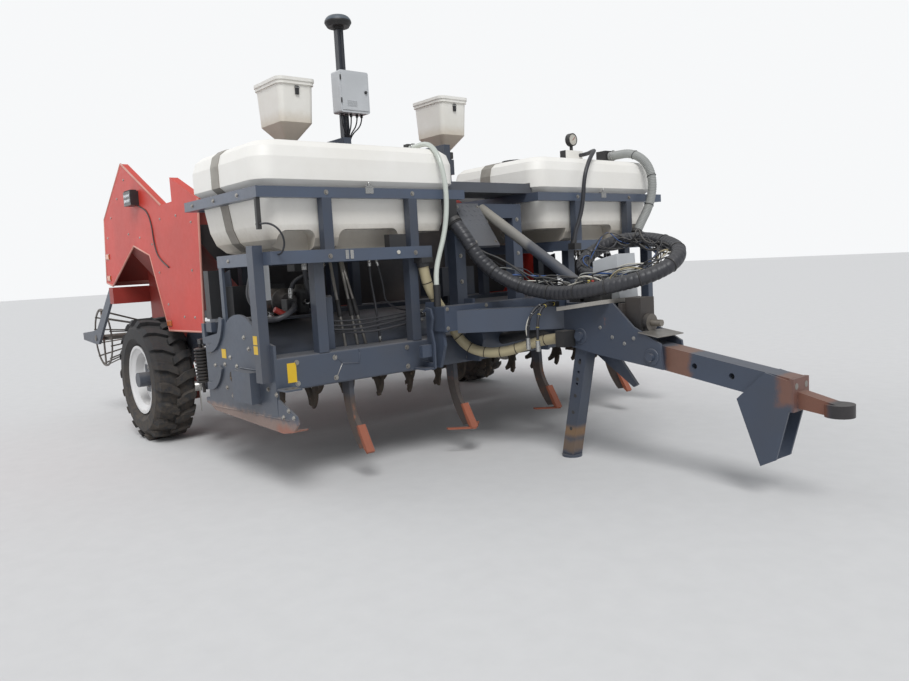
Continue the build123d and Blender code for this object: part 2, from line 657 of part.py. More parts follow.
# Parking stand: square leg on the cheek pin, with its foot
with BuildPart() as stand_leg:
    foot_top = FOOT_T
    lean = Vector(STAND_PIN_X - FOOT_X, 0, STAND_PIN_Z - foot_top).normalized()
    top = Vector(STAND_PIN_X, LEG_Y, STAND_PIN_Z)
    with BuildSketch(Plane(origin=(FOOT_X, LEG_Y, foot_top), x_dir=(0, 1, 0), z_dir=lean)) as leg_section:
        Rectangle(LEG_SIZE, LEG_SIZE)
    extrude(leg_section.sketch, amount=(top - Vector(FOOT_X, LEG_Y, foot_top)).length)
    rod((STAND_PIN_X, LEG_Y - LEG_SIZE / 2, STAND_PIN_Z), (STAND_PIN_X, LEG_Y + LEG_SIZE / 2, STAND_PIN_Z),
        LEG_SIZE / 2 + 4)
    block(-2000 + FOOT_X, 2000 + FOOT_X, -200, 200, -200, foot_top, mode=Mode.SUBTRACT)
    with Locations((FOOT_X, LEG_Y, FOOT_T / 2)):
        Cylinder(FOOT_R, FOOT_T)
    rod((STAND_PIN_X, -200, STAND_PIN_Z), (STAND_PIN_X, 200, STAND_PIN_Z), STAND_PIN_R + PIN_FIT,
        mode=Mode.SUBTRACT)
    for share in (0.62, 0.72, 0.82):
        hole = Vector(FOOT_X, 0, foot_top) + lean * (share * 700)
        rod((hole.X, -200, hole.Z), (hole.X, 200, hole.Z), 9, mode=Mode.SUBTRACT)
save(stand_leg, "stand_leg")

# Pump gearbox between the cheeks, with the splined stub shaft
STUB_Z = 794
STUB_R = 17.5
GEAR_HALF = CHEEK_IN
with BuildPart() as pto_gearbox:
    block(RAIL_X + 935, RAIL_X + 960, -GEAR_HALF, GEAR_HALF, 754, 900)
    block(RAIL_X + 960, RAIL_X + 1058, -GEAR_HALF + 27, GEAR_HALF - 27, 754, 928)
    rod((RAIL_X + 1058, 0, STUB_Z), (RAIL_X + 1085, 0, STUB_Z), 48)
    rod((RAIL_X + 1085, 0, STUB_Z), (RAIL_X + 1146, 0, STUB_Z), STUB_R)
save(pto_gearbox, "pto_gearbox")

# Guarded drive shaft from the pump gearbox back to the crossbeam
SHAFT_R = 35
SHAFT_HIGH = 856
SHAFT_LOW = 661
with BuildPart() as drive_shaft:
    rod((RAIL_X + 960, 0, SHAFT_HIGH + 5), (BEAM_FRONT - 25, 0, SHAFT_LOW - 5), SHAFT_R)
    block(RAIL_X + 935, RAIL_X + 1200, -80, 80, 700, 1000, mode=Mode.SUBTRACT)
    block(BEAM_REAR, BEAM_FRONT, -80, 80, BEAM_BOTTOM, BEAM_TOP, mode=Mode.SUBTRACT)
save(drive_shaft, "drive_shaft")

# Pale tray on the cheeks, under the hose loom
TRAY_T = 22
TRAY_HALF = 165
TRAY_REAR = 565
TRAY_FRONT = 890
TRAY_SLOPE = (903 - 840) / (906 - 410)


def tray_z(x):
    """Height of the cheeks' top edge, which carries the tray."""
    return 840 + (x - 410) * TRAY_SLOPE


with BuildPart() as hose_tray:
    tray = [(TRAY_REAR, tray_z(TRAY_REAR)), (TRAY_FRONT, tray_z(TRAY_FRONT)),
            (TRAY_FRONT, tray_z(TRAY_FRONT) + TRAY_T), (TRAY_REAR, tray_z(TRAY_REAR) + TRAY_T)]
    side_shape(shifted(tray), -TRAY_HALF, TRAY_HALF)
save(hose_tray, "hose_tray")

# Wheel arms: swing tube under the main rails with an arm and stub axle at each end
AXLE_TUBE_X = RAIL_X - 1250
AXLE_TUBE_H = 110
with BuildPart() as axle_tube:
    block(AXLE_TUBE_X - 50, AXLE_TUBE_X + 50, -ARM_IN, ARM_IN,
          MAIN_RAIL_TOP - MAIN_RAIL_H - AXLE_TUBE_H, MAIN_RAIL_TOP - MAIN_RAIL_H)
with BuildPart() as cross_members:
    add([front_crossbeam.part, rear_crossbeam.part, axle_tube.part])
save(cross_members, "cross_members")
with BuildPart() as wheel_arms:
    for side in (-1, 1):
        arm = shifted([(-1190, 800), (-1190, 690), (-1800, 690), (-2110, 385), (-2225, 400), (-2240, 480),
                       (-1880, 790), (-1310, 800)])
        side_shape(arm, side * ARM_IN, side * (ARM_IN + ARM_T))
        rod((WHEEL_X, side * (ARM_IN + ARM_T), WHEEL_R), (WHEEL_X, side * (WHEEL_Y + 60), WHEEL_R), AXLE_R)

# Tyre: ballooned carcass with two rows of slanting lugs, of flat-sided rings so that it has few triangles
TYRE_SIDES = 2 * LUG_COUNT
CARCASS = [                   # radius, distance from the tyre's middle
    (RIM_R + 70, TYRE_W / 2), (WHEEL_R - 70, TYRE_W / 2 - 2), (WHEEL_R - 36, TYRE_W / 2 - 30),
    (WHEEL_R - 29, 60),
]
UNDERCUT = [                  # the sidewall's hollow beside the rim's flange, outer end first
    (RIM_R + 70, TYRE_W / 2), (RIM_R + 22, BEAD),
]
TREAD_BAND = [                # radius, distance from the tyre's middle
    (WHEEL_R - 40, TYRE_W / 2), (WHEEL_R - 4, TYRE_W / 2 - 20), (WHEEL_R, TYRE_W / 2 - 60),
]
LUG_BAR = [                   # distance from the tyre's middle, distance round it
    (-8, -22), (-8, 28), (60, 70), (TYRE_W / 2, 84), (TYRE_W / 2, 30), (66, 16),
]
LUG_SHIFT = pi * WHEEL_R / LUG_COUNT


def ring_stack(rings):
    """Join flat-sided rings along Y, in the order given."""
    with BuildPart() as body:
        for (near_r, near_y), (far_r, far_y) in zip(rings, rings[1:]):
            with BuildSketch(Plane.XZ.offset(-near_y)):
                RegularPolygon(near_r, TYRE_SIDES)
            with BuildSketch(Plane.XZ.offset(-far_y)):
                RegularPolygon(far_r, TYRE_SIDES)
            loft(ruled=True)
    return body.part


def mirrored(rings, side=-1):
    """Give the rings of the other half."""
    return [(radius, side * across) for radius, across in rings]


with BuildPart() as tyre_shape:
    add(ring_stack(mirrored(CARCASS) + CARCASS[::-1]))
    for side in (-1, 1):
        add(ring_stack(mirrored(UNDERCUT, side)), mode=Mode.SUBTRACT)
    rod((0, -TYRE_W, 0), (0, TYRE_W, 0), RIM_R, mode=Mode.SUBTRACT)
with BuildPart() as lug:
    for flip in (-1, 1):
        shift = 0 if flip > 0 else LUG_SHIFT
        with BuildSketch(Plane.YZ.offset(WHEEL_R - 62)) as lug_outline:
            with BuildLine():
                Polyline(*[(flip * across, round_it + shift) for across, round_it in LUG_BAR], close=True)
            make_face()
        extrude(lug_outline.sketch, amount=80)
    add(ring_stack(mirrored(TREAD_BAND) + TREAD_BAND[::-1]), mode=Mode.INTERSECT)
with BuildPart() as tyre_lugged:
    add(tyre_shape.part)
    add([lug.part.rotate(Axis.Y, turn * 360 / LUG_COUNT) for turn in range(LUG_COUNT)])
with BuildPart() as tyre_right:
    with Locations((WHEEL_X, -WHEEL_Y, WHEEL_R)):
        add(tyre_lugged.part)
save(tyre_right, "tyre_right")
with BuildPart() as tyre_left:
    mirror(tyre_right.part, about=Plane.XZ)
save(tyre_left, "tyre_left")

# Rim: flanged barrel with a dished disc, axis along Y, outer side at negative Y
with BuildPart() as rim_shape:
    with BuildSketch(Plane.XY) as rim_profile:
        with BuildLine():
            Polyline(
                (RIM_R + 18, -112), (RIM_R + 18, -118), (RIM_R - SEAT, -118), (RIM_R - 8, -106),
                (RIM_R - 40, -90), (RIM_R - 44, -30), (150, -46), (75, -46), (75, -26),
                (145, -26), (RIM_R - 44, -8), (RIM_R - 36, 90), (RIM_R - 8, 112), (RIM_R + 16, 118),
                (RIM_R + 18, 112), (RIM_R - SEAT, 106), (RIM_R - SEAT, -106), close=True,
            )
        make_face()
    revolve(axis=Axis.Y)
HUB_R = 52
HUB_FLANGE_R = 80
HUB_IN = 50
with BuildPart() as rim_right:
    with Locations((WHEEL_X, -WHEEL_Y, WHEEL_R)):
        add(rim_shape.part)
    rod((WHEEL_X, -WHEEL_Y + HUB_IN, WHEEL_R), (WHEEL_X, -WHEEL_Y - 135, WHEEL_R), HUB_R)
    rod((WHEEL_X, -WHEEL_Y - 46, WHEEL_R), (WHEEL_X, -WHEEL_Y - 20, WHEEL_R), HUB_FLANGE_R)
    rod((WHEEL_X, -WHEEL_Y + HUB_IN + 1, WHEEL_R), (WHEEL_X, -WHEEL_Y - 65, WHEEL_R), AXLE_R + PIN_FIT,
        mode=Mode.SUBTRACT)
save(rim_right, "rim_right")
with BuildPart() as rim_left:
    mirror(rim_right.part, about=Plane.XZ)
save(rim_left, "rim_left")

# Springs behind the tiller end plates, drawn as a stack of close coils
SPRING_X = RAIL_X - 1145
SPRING_Y = 1550
SPRING_R = 42
COIL_PITCH = 20
COILS = 11
with BuildPart() as springs:
    for side in (-1, 1):
        base = 500
        coils = [(0, base)]
        for turn in range(COILS):
            z = base + turn * COIL_PITCH
            coils += [(SPRING_R - 12, z), (SPRING_R, z + COIL_PITCH * 0.3), (SPRING_R, z + COIL_PITCH * 0.7)]
        coils += [(SPRING_R - 12, base + COILS * COIL_PITCH), (0, base + COILS * COIL_PITCH)]
        with BuildSketch(Plane.XZ) as coil_profile:
            with BuildLine():
                Polyline(*coils, close=True)
            make_face()
        with Locations((SPRING_X, side * SPRING_Y, 0)):
            add(revolve(coil_profile.sketch, axis=Axis.Z, mode=Mode.PRIVATE))
        rod((SPRING_X, side * SPRING_Y, 720), (SPRING_X, side * SPRING_Y, 760), 10)
        block(SPRING_X - 14, REAR_BEAM_REAR, side * SPRING_Y - 12, side * SPRING_Y + 12, 745, 775)
        block(REAR_BEAM_REAR - 20, REAR_BEAM_REAR, side * (REAR_BEAM_HALF - 40), side * SPRING_Y, 745, 775)
        rod((SPRING_X, side * SPRING_Y, 440), (SPRING_X, side * SPRING_Y, 500), 10)
save(springs, "springs")

# Seed hopper side panels, right one drawn and the left mirrored
PANEL = {
    "A": (-2543, 2024), "B": (-3092, 1651), "C": (-3184, 1143), "D": (-3026, 1117),
    "E": (-2413, 1408), "F": (-2075, 1325), "G": (-1814, 799), "H": (-1196, 811),
    "T": (-1119, 1636), "V3": (-1555, 1810), "V2": (-1555, 1655), "V1": (-1770, 1650),
}
LIP = 50


def lip(start, end, drop):
    """Add a folded lip along one top edge of the side panel, its thickness down by drop."""
    (x0, z0), (x1, z1) = shifted([PANEL[start], PANEL[end]])
    side_shape([(x0, z0), (x1, z1), (x1, z1 - drop), (x0, z0 - drop)], -HOPPER_IN, -HOPPER_IN + LIP)


with BuildPart() as hopper_side_right:
    side_shape(shifted(list(PANEL.values())), -HOPPER_OUT, -HOPPER_IN)
    lip("V1", "A", 8)
    lip("T", "V3", 8)
    lip("V2", "V1", 8)
with BuildPart() as hopper_sides:
    add(hopper_side_right.part)
    mirror(hopper_side_right.part, about=Plane.XZ)
save(hopper_sides, "hopper_sides")

# Trough of the seed hopper: sloping sides on a flat floor, open on top
with BuildPart() as trough:
    with BuildSketch(Plane.YZ.offset(TROUGH_REAR)) as trough_outer:
        with BuildLine():
            Polyline(
                (-HOPPER_IN, TROUGH_TOP), (-HOPPER_IN, TROUGH_KNEE), (-TROUGH_FLOOR_HALF, MAIN_RAIL_TOP),
                (TROUGH_FLOOR_HALF, MAIN_RAIL_TOP), (HOPPER_IN, TROUGH_KNEE), (HOPPER_IN, TROUGH_TOP),
                close=True,
            )
        make_face()
    extrude(trough_outer.sketch, amount=TROUGH_FRONT - TROUGH_REAR)
    with BuildSketch(Plane.YZ.offset(TROUGH_REAR + SHEET)) as trough_inner:
        with BuildLine():
            Polyline(
                (-HOPPER_IN + SHEET, TROUGH_TOP + 1), (-HOPPER_IN + SHEET, TROUGH_KNEE + 2),
                (-TROUGH_FLOOR_HALF + 2, MAIN_RAIL_TOP + SHEET),
                (TROUGH_FLOOR_HALF - 2, MAIN_RAIL_TOP + SHEET),
                (HOPPER_IN - SHEET, TROUGH_KNEE + 2), (HOPPER_IN - SHEET, TROUGH_TOP + 1), close=True,
            )
        make_face()
    extrude(trough_inner.sketch, amount=TROUGH_FRONT - TROUGH_REAR - 2 * SHEET, mode=Mode.SUBTRACT)

# Rear wall between the side panels, along their rear edge and folded under
with BuildPart() as hopper_rear_wall:
    (bx, bz), (cx, cz), (dx, dz) = shifted([PANEL["B"], PANEL["C"], PANEL["D"]])
    side_shape(
        [(bx, bz), (cx, cz), (dx, dz), (dx, dz + SHEET + 1), (cx + SHEET + 1, cz + SHEET), (bx + SHEET, bz)],
        -HOPPER_IN, HOPPER_IN,
    )
with BuildPart() as hopper_trough:
    add([trough.part, hopper_rear_wall.part])
save(hopper_trough, "hopper_trough")

# Toolbar carried on the main rails behind the elevators
with BuildPart() as planter_toolbar:
    block(RAIL_END, UNIT_REAR, -TOOLBAR_HALF, TOOLBAR_HALF, TOOLBAR_BOTTOM, TOOLBAR_TOP)
    for side in (-1, 1):
        block(RAIL_END, UNIT_REAR, side * MAIN_RAIL_Y - MAIN_RAIL_W / 2, side * MAIN_RAIL_Y + MAIN_RAIL_W / 2,
              MAIN_RAIL_TOP, TOOLBAR_BOTTOM)
save(planter_toolbar, "planter_toolbar")

# Elevator casings: a channel for each row, open to the rear
CASING_T = 6
BELT_X = UNIT_REAR + 120
BELT_R = 66
BELT_LOW = UNIT_BOTTOM + 110
BELT_HIGH = UNIT_TOP - 110
BELT_SHAFT_R = 20
with BuildPart() as elevator_casings:
    for row in ROWS:
        block(UNIT_REAR, UNIT_FRONT, row - UNIT_W / 2, row + UNIT_W / 2, UNIT_BOTTOM, UNIT_TOP)
        block(UNIT_REAR - 1, UNIT_FRONT - CASING_T, row - UNIT_W / 2 + CASING_T, row + UNIT_W / 2 - CASING_T,
              UNIT_BOTTOM - 1, UNIT_TOP + 1, mode=Mode.SUBTRACT)
        for shaft_z in (BELT_LOW, BELT_HIGH):
            rod((BELT_X, row - UNIT_W / 2, shaft_z), (BELT_X, row + UNIT_W / 2, shaft_z), BELT_SHAFT_R)

# Cup belts: a loop over two rollers with a cup at every pitch
with BuildPart() as one_belt:
    with BuildSketch(Plane.XZ.offset(-BELT_W / 2)) as belt_outline:
        with Locations((BELT_X, (BELT_LOW + BELT_HIGH) / 2)):
            SlotCenterToCenter(BELT_HIGH - BELT_LOW, 2 * BELT_R, rotation=90)
            SlotCenterToCenter(BELT_HIGH - BELT_LOW, 2 * (BELT_R - BELT_T), rotation=90, mode=Mode.SUBTRACT)
    extrude(belt_outline.sketch, amount=BELT_W)
    for end_z in (BELT_LOW, BELT_HIGH):
        rod((BELT_X, -BELT_W / 2, end_z), (BELT_X, BELT_W / 2, end_z), BELT_R - BELT_T)
        rod((BELT_X, -BELT_W / 2, end_z), (BELT_X, BELT_W / 2, end_z), BELT_SHAFT_R + PIN_FIT,
            mode=Mode.SUBTRACT)
    cups = int((BELT_HIGH - BELT_LOW) / CUP_PITCH)
    for step in range(cups):
        cup_z = BELT_LOW + (step + 0.5) * CUP_PITCH
        for way in (-1, 1):
            foot = BELT_X + way * (BELT_R - 2)
            with BuildSketch(Plane.YZ.offset(foot)) as cup_outline:
                with Locations((0, cup_z)):
                    RegularPolygon(CUP_R, 8)
            extrude(cup_outline.sketch, amount=way * CUP_DEPTH)
with BuildPart() as cup_belts:
    with Locations(*[(0, row, 0) for row in ROWS]):
        add(one_belt.part)
save(cup_belts, "cup_belts")

# Furrow openers under the elevators
with BuildPart() as furrow_openers:
    for row in ROWS:
        shoe = [(UNIT_FRONT, UNIT_BOTTOM), (UNIT_FRONT + 60, 330), (UNIT_FRONT + 110, 190),
                (UNIT_FRONT - 60, 160), (UNIT_REAR + 40, 200), (UNIT_REAR, UNIT_BOTTOM)]
        side_shape(shoe, row - 62, row - 56)
        side_shape(shoe, row + 56, row + 62)
        nose = [(UNIT_FRONT, UNIT_BOTTOM), (UNIT_FRONT + 60, 330), (UNIT_FRONT + 110, 190),
                (UNIT_FRONT + 96, 189), (UNIT_FRONT + 48, 330), (UNIT_FRONT - 12, UNIT_BOTTOM)]
        side_shape(nose, row - 56, row + 56)
        block(UNIT_REAR, UNIT_FRONT, row - UNIT_W / 2, row - 56, UNIT_BOTTOM - 10, UNIT_BOTTOM)
        block(UNIT_REAR, UNIT_FRONT, row + 56, row + UNIT_W / 2, UNIT_BOTTOM - 10, UNIT_BOTTOM)
with BuildPart() as planting_units:
    add([elevator_casings.part, furrow_openers.part])
save(planting_units, "planting_units")

# Cage roller arms, from the toolbar back to the roller bearings
CAGE_ARM_IN = TOOLBAR_HALF - 20
with BuildPart() as cage_arms:
    for side in (-1, 1):
        arm = [
            (RAIL_END, TOOLBAR_TOP - 10), (RAIL_END, TOOLBAR_BOTTOM + 10), (CAGE_X + 60, CAGE_Z - 50),
            (CAGE_X - 60, CAGE_Z - 50), (REAR_END, CAGE_Z - 30), (REAR_END, CAGE_Z + 30),
            (CAGE_X - 60, CAGE_Z + 60), (CAGE_X + 60, CAGE_Z + 80),
        ]
        side_shape(arm, side * CAGE_ARM_IN, side * TOOLBAR_HALF)
    rod((CAGE_X, -TOOLBAR_HALF - 50, CAGE_Z), (CAGE_X, TOOLBAR_HALF + 50, CAGE_Z), CAGE_SHAFT_R + PIN_FIT,
        mode=Mode.SUBTRACT)
save(cage_arms, "cage_arms")

# Cage roller: wire cones, wide in the furrows and narrow over the ridges
with BuildPart() as cage_roller:
    rod((CAGE_X, -TOOLBAR_HALF - 6, CAGE_Z), (CAGE_X, TOOLBAR_HALF + 6, CAGE_Z), CAGE_SHAFT_R)
    rings = [min(max(y, -CAGE_END), CAGE_END) for y in FURROWS]
    for ring_y in rings:
        with BuildSketch(Plane.XZ.offset(-ring_y - 5)) as ring_outline:
            with Locations((CAGE_X, CAGE_Z)):
                Circle(CAGE_R)
                Circle(CAGE_R - 16, mode=Mode.SUBTRACT)
                Rectangle(2 * CAGE_R - 16, 24)
                Rectangle(24, 2 * CAGE_R - 16)
        extrude(ring_outline.sketch, amount=-10)
    for row in ROWS:
        rod((CAGE_X, row - 5, CAGE_Z), (CAGE_X, row + 5, CAGE_Z), CAGE_CREST_R)
    for ring_y, row in [(rings[0], ROWS[0]), (rings[1], ROWS[0]), (rings[1], ROWS[1]), (rings[2], ROWS[1]),
                        (rings[2], ROWS[2]), (rings[3], ROWS[2]), (rings[3], ROWS[3]), (rings[4], ROWS[3])]:
        for turn in range(CAGE_BARS):
            angle = radians((turn + 0.5) * 360 / CAGE_BARS)
            wide, narrow = CAGE_R - 8, CAGE_CREST_R - 8
            start = (CAGE_X + wide * cos(angle), ring_y, CAGE_Z + wide * sin(angle))
            end = (CAGE_X + narrow * cos(angle), row, CAGE_Z + narrow * sin(angle))
            flat_bar(start, end, CAGE_BAR_T, CAGE_BAR_T)
save(cage_roller, "cage_roller")

# Granule bins on a frame behind the tanks, columns are height, half length, half width, corner
BIN_X = RAIL_X - 1420
BIN_Y = 696
BIN_SECTIONS = [
    (2050, 48, 36, 14),
    (2170, 162, 124, 35),
    (2418, 180, 133, 40),
]
BIN_WALL = 6
BIN_RIM_X = 190
BIN_RIM_Y = 142
BIN_TOP = 2440


def bin_section(height, half_x, half_y, corner):
    """Draw one rounded rectangle of the right bin at a height."""
    with BuildSketch(Plane.XY.offset(height)) as section:
        with Locations((BIN_X, -BIN_Y)):
            RectangleRounded(2 * half_x, 2 * half_y, corner)
    return section.sketch


with BuildPart() as granule_bin:
    loft([bin_section(*row) for row in BIN_SECTIONS], ruled=True)
    extrude(bin_section(BIN_SECTIONS[-1][0], BIN_RIM_X, BIN_RIM_Y, 45), amount=BIN_TOP - BIN_SECTIONS[-1][0])
with BuildPart() as bin_cavity:
    hollow = [(z + (BIN_WALL if z == BIN_SECTIONS[0][0] else 0), half_x - BIN_WALL, half_y - BIN_WALL,
               corner - BIN_WALL) for z, half_x, half_y, corner in BIN_SECTIONS]
    loft([bin_section(*row) for row in hollow], ruled=True)
    extrude(bin_section(*hollow[-1]), amount=BIN_TOP - BIN_SECTIONS[-1][0] + 1)
with BuildPart() as open_bin:
    add(granule_bin.part)
    add(bin_cavity.part, mode=Mode.SUBTRACT)
with BuildPart() as granule_bins:
    add(open_bin.part)
    mirror(open_bin.part, about=Plane.XZ)
save(granule_bins, "granule_bins")

# Bin lids: hinged at the rear edge, with a knob
LID_T = 22
LID_HINGE_X = BIN_X - BIN_RIM_X - 6
LID_PIN_R = 5
KNOB_R = 38
KNOB_H = 34
with BuildPart() as granule_lid_right:
    extrude(bin_section(BIN_TOP, BIN_RIM_X + 6, BIN_RIM_Y + 6, 48), amount=LID_T)
    rod((LID_HINGE_X, -BIN_Y - 60, BIN_TOP), (LID_HINGE_X, -BIN_Y + 60, BIN_TOP), LID_PIN_R)
    with Locations((BIN_X, -BIN_Y, BIN_TOP + LID_T + KNOB_H / 2)):
        Cylinder(KNOB_R, KNOB_H)
save(granule_lid_right, "granule_lid_right")
with BuildPart() as granule_lid_left:
    mirror(granule_lid_right.part, about=Plane.XZ)
save(granule_lid_left, "granule_lid_left")

# Frame of the granule bins: posts on the rear crossbeam, arms and a cross tube
GRANULE_POST_Y = 440
GRANULE_BASE = BIN_SECTIONS[0][0]
with BuildPart() as granule_posts:
    for side in (-1, 1):
        near, far = side * GRANULE_POST_Y - TUBE / 2, side * GRANULE_POST_Y + TUBE / 2
        block(REAR_BEAM_REAR, REAR_BEAM_REAR + TUBE, near, far, MAIN_RAIL_TOP, GRANULE_BASE)
        block(BIN_X + TUBE / 2, REAR_BEAM_REAR, near, far, GRANULE_BASE - TUBE, GRANULE_BASE)
save(granule_posts, "granule_posts")
with BuildPart() as granule_beam:
    block(BIN_X - TUBE / 2, BIN_X + TUBE / 2, -BIN_Y - 70, BIN_Y + 70, GRANULE_BASE - TUBE, GRANULE_BASE)
    for side in (-1, 1):
        block(BIN_X - 70, BIN_X + 70, side * BIN_Y - 60, side * BIN_Y + 60, GRANULE_BASE - TUBE - 120,
              GRANULE_BASE - TUBE)
save(granule_beam, "granule_beam")

# Mast with the position receiver, and the control cabinet on it
MAST_Y = -220
MAST_W = 50
MAST_TOP = 2890
RECEIVER_TOP = 2985
with BuildPart() as mast:
    block(BIN_X - MAST_W / 2, BIN_X + MAST_W / 2, MAST_Y - MAST_W / 2, MAST_Y + MAST_W / 2,
          GRANULE_BASE, MAST_TOP)
with BuildPart() as receiver:
    with Locations((BIN_X, MAST_Y, MAST_TOP + 8)):
        Cylinder(40, 16)
    with BuildSketch(Plane.XZ) as dome:
        with BuildLine():
            Line((0, MAST_TOP + 16), (80, MAST_TOP + 16))
            Line((80, MAST_TOP + 16), (98, MAST_TOP + 45))
            ThreePointArc((98, MAST_TOP + 45), (82, RECEIVER_TOP - 14), (50, RECEIVER_TOP))
            Line((50, RECEIVER_TOP), (0, RECEIVER_TOP))
            Line((0, RECEIVER_TOP), (0, MAST_TOP + 16))
        make_face()
    with Locations((BIN_X, MAST_Y, 0)):
        add(revolve(dome.sketch, axis=Axis.Z, mode=Mode.PRIVATE))
with BuildPart() as receiver_mast:
    add(mast.part)
    add(receiver.part)
save(receiver_mast, "receiver_mast")
CABINET_FRONT = BIN_X + MAST_W / 2
CABINET_D = 110
with BuildPart() as control_cabinet:
    block(CABINET_FRONT, CABINET_FRONT + CABINET_D, -324, -79, 2275, 2570)
    fillet(control_cabinet.edges().filter_by(Axis.X), radius=14)

# Top link: the cylinder from the headstock down to the tray
LINK_Y = -60
LINK_R = 32
with BuildPart() as top_link:
    link_top = (BEAM_REAR + 100, LINK_Y, HEAD_TOP - 32)
    link_low = (RAIL_X + 790, LINK_Y, tray_z(790) + TRAY_T + 6)
    rod(link_top, link_low, LINK_R)
    block(RAIL_X - 300, BEAM_REAR + 100, -200, 100, 1300, 1700, mode=Mode.SUBTRACT)
    below_tray = shifted([(400, tray_z(400) + TRAY_T - 300), (1000, tray_z(1000) + TRAY_T - 300),
                          (1000, tray_z(1000) + TRAY_T), (400, tray_z(400) + TRAY_T)])
    side_shape(below_tray, -200, 100, mode=Mode.SUBTRACT)
save(top_link, "top_link")

# Junction box on the tray, inside the hose loop
with BuildPart() as junction_box:
    side_shape(shifted([(700, tray_z(700) + TRAY_T), (880, tray_z(880) + TRAY_T), (865, tray_z(880) + 262),
                        (700, tray_z(700) + 250)]), 0, 160)

# Lamps: on the hopper sides and one on the tank base
LAMP_D = 60
with BuildPart() as work_lamps:
    for side in (-1, 1):
        block(RAIL_X - 2345, RAIL_X - 2195, side * HOPPER_OUT, side * (HOPPER_OUT + LAMP_D), 1690, 1790)
    block(RAIL_X - 50, RAIL_X, -878, -766, BASE_TOP, BASE_TOP + 70)
save(work_lamps, "work_lamps")

# Valve block on a shelf ahead of the rear crossbeam, and the boxes beside it
SHELF_T = 12
with BuildPart() as valve_block:
    block(REAR_BEAM_FRONT, REAR_BEAM_FRONT + 130, -1480, -1080, MAIN_RAIL_TOP - SHELF_T, MAIN_RAIL_TOP)
    block(REAR_BEAM_FRONT + 10, REAR_BEAM_FRONT + 120, -1450, -1110, MAIN_RAIL_TOP, MAIN_RAIL_TOP + 190)
with BuildPart() as control_box:
    block(RAIL_X - 330, RAIL_X - 270, -1565, -1480, BASE_BOTTOM - 185, BASE_BOTTOM)
with BuildPart() as side_box:
    block(REAR_BEAM_REAR + 60, REAR_BEAM_REAR + 130, -1530, -1420, MAIN_RAIL_TOP, 1190)
with BuildPart() as control_boxes:
    add([control_cabinet.part, junction_box.part, control_box.part, valve_block.part, side_box.part])
save(control_boxes, "control_boxes")

# Side discs, toed in a little, each on a stub of an arm from the rear crossbeam
DISC_R = 175
DISC_X = RAIL_X - 1560
DISC_Y = 1420
DISC_Z = 425
DISC_TOE = 20
DISC_PIN_R = 14
DISC_HUB_R = 34
DISC_ARM_Y = 1370
DISC_ARM_T = 15


def disc_point(side, along):
    """Point on a side disc's axle, measured outward from the disc."""
    toe = radians(DISC_TOE)
    return DISC_X - along * sin(toe), side * (DISC_Y + along * cos(toe)), DISC_Z


with BuildPart() as disc_arms:
    for side in (-1, 1):
        arm = shifted([(-1110, 880), (-1110, 780), (-1530, 395), (-1585, 400), (-1590, 450), (-1160, 880)])
        faces = sorted([side * DISC_ARM_Y, side * (DISC_ARM_Y + DISC_ARM_T)])
        side_shape(arm, faces[0], faces[1])
        rod(disc_point(side, -44), disc_point(side, 22), DISC_PIN_R)
with BuildPart() as running_arms:
    add([wheel_arms.part, disc_arms.part])
save(running_arms, "running_arms")
for side, disc_name in ((-1, "side_disc_right"), (1, "side_disc_left")):
    with BuildPart() as side_disc:
        rod(disc_point(side, -3), disc_point(side, 3), DISC_R)
        rod(disc_point(side, -14), disc_point(side, 30), DISC_HUB_R)
        rod(disc_point(side, -15), disc_point(side, 23), DISC_PIN_R + PIN_FIT, mode=Mode.SUBTRACT)
    save(side_disc, disc_name)

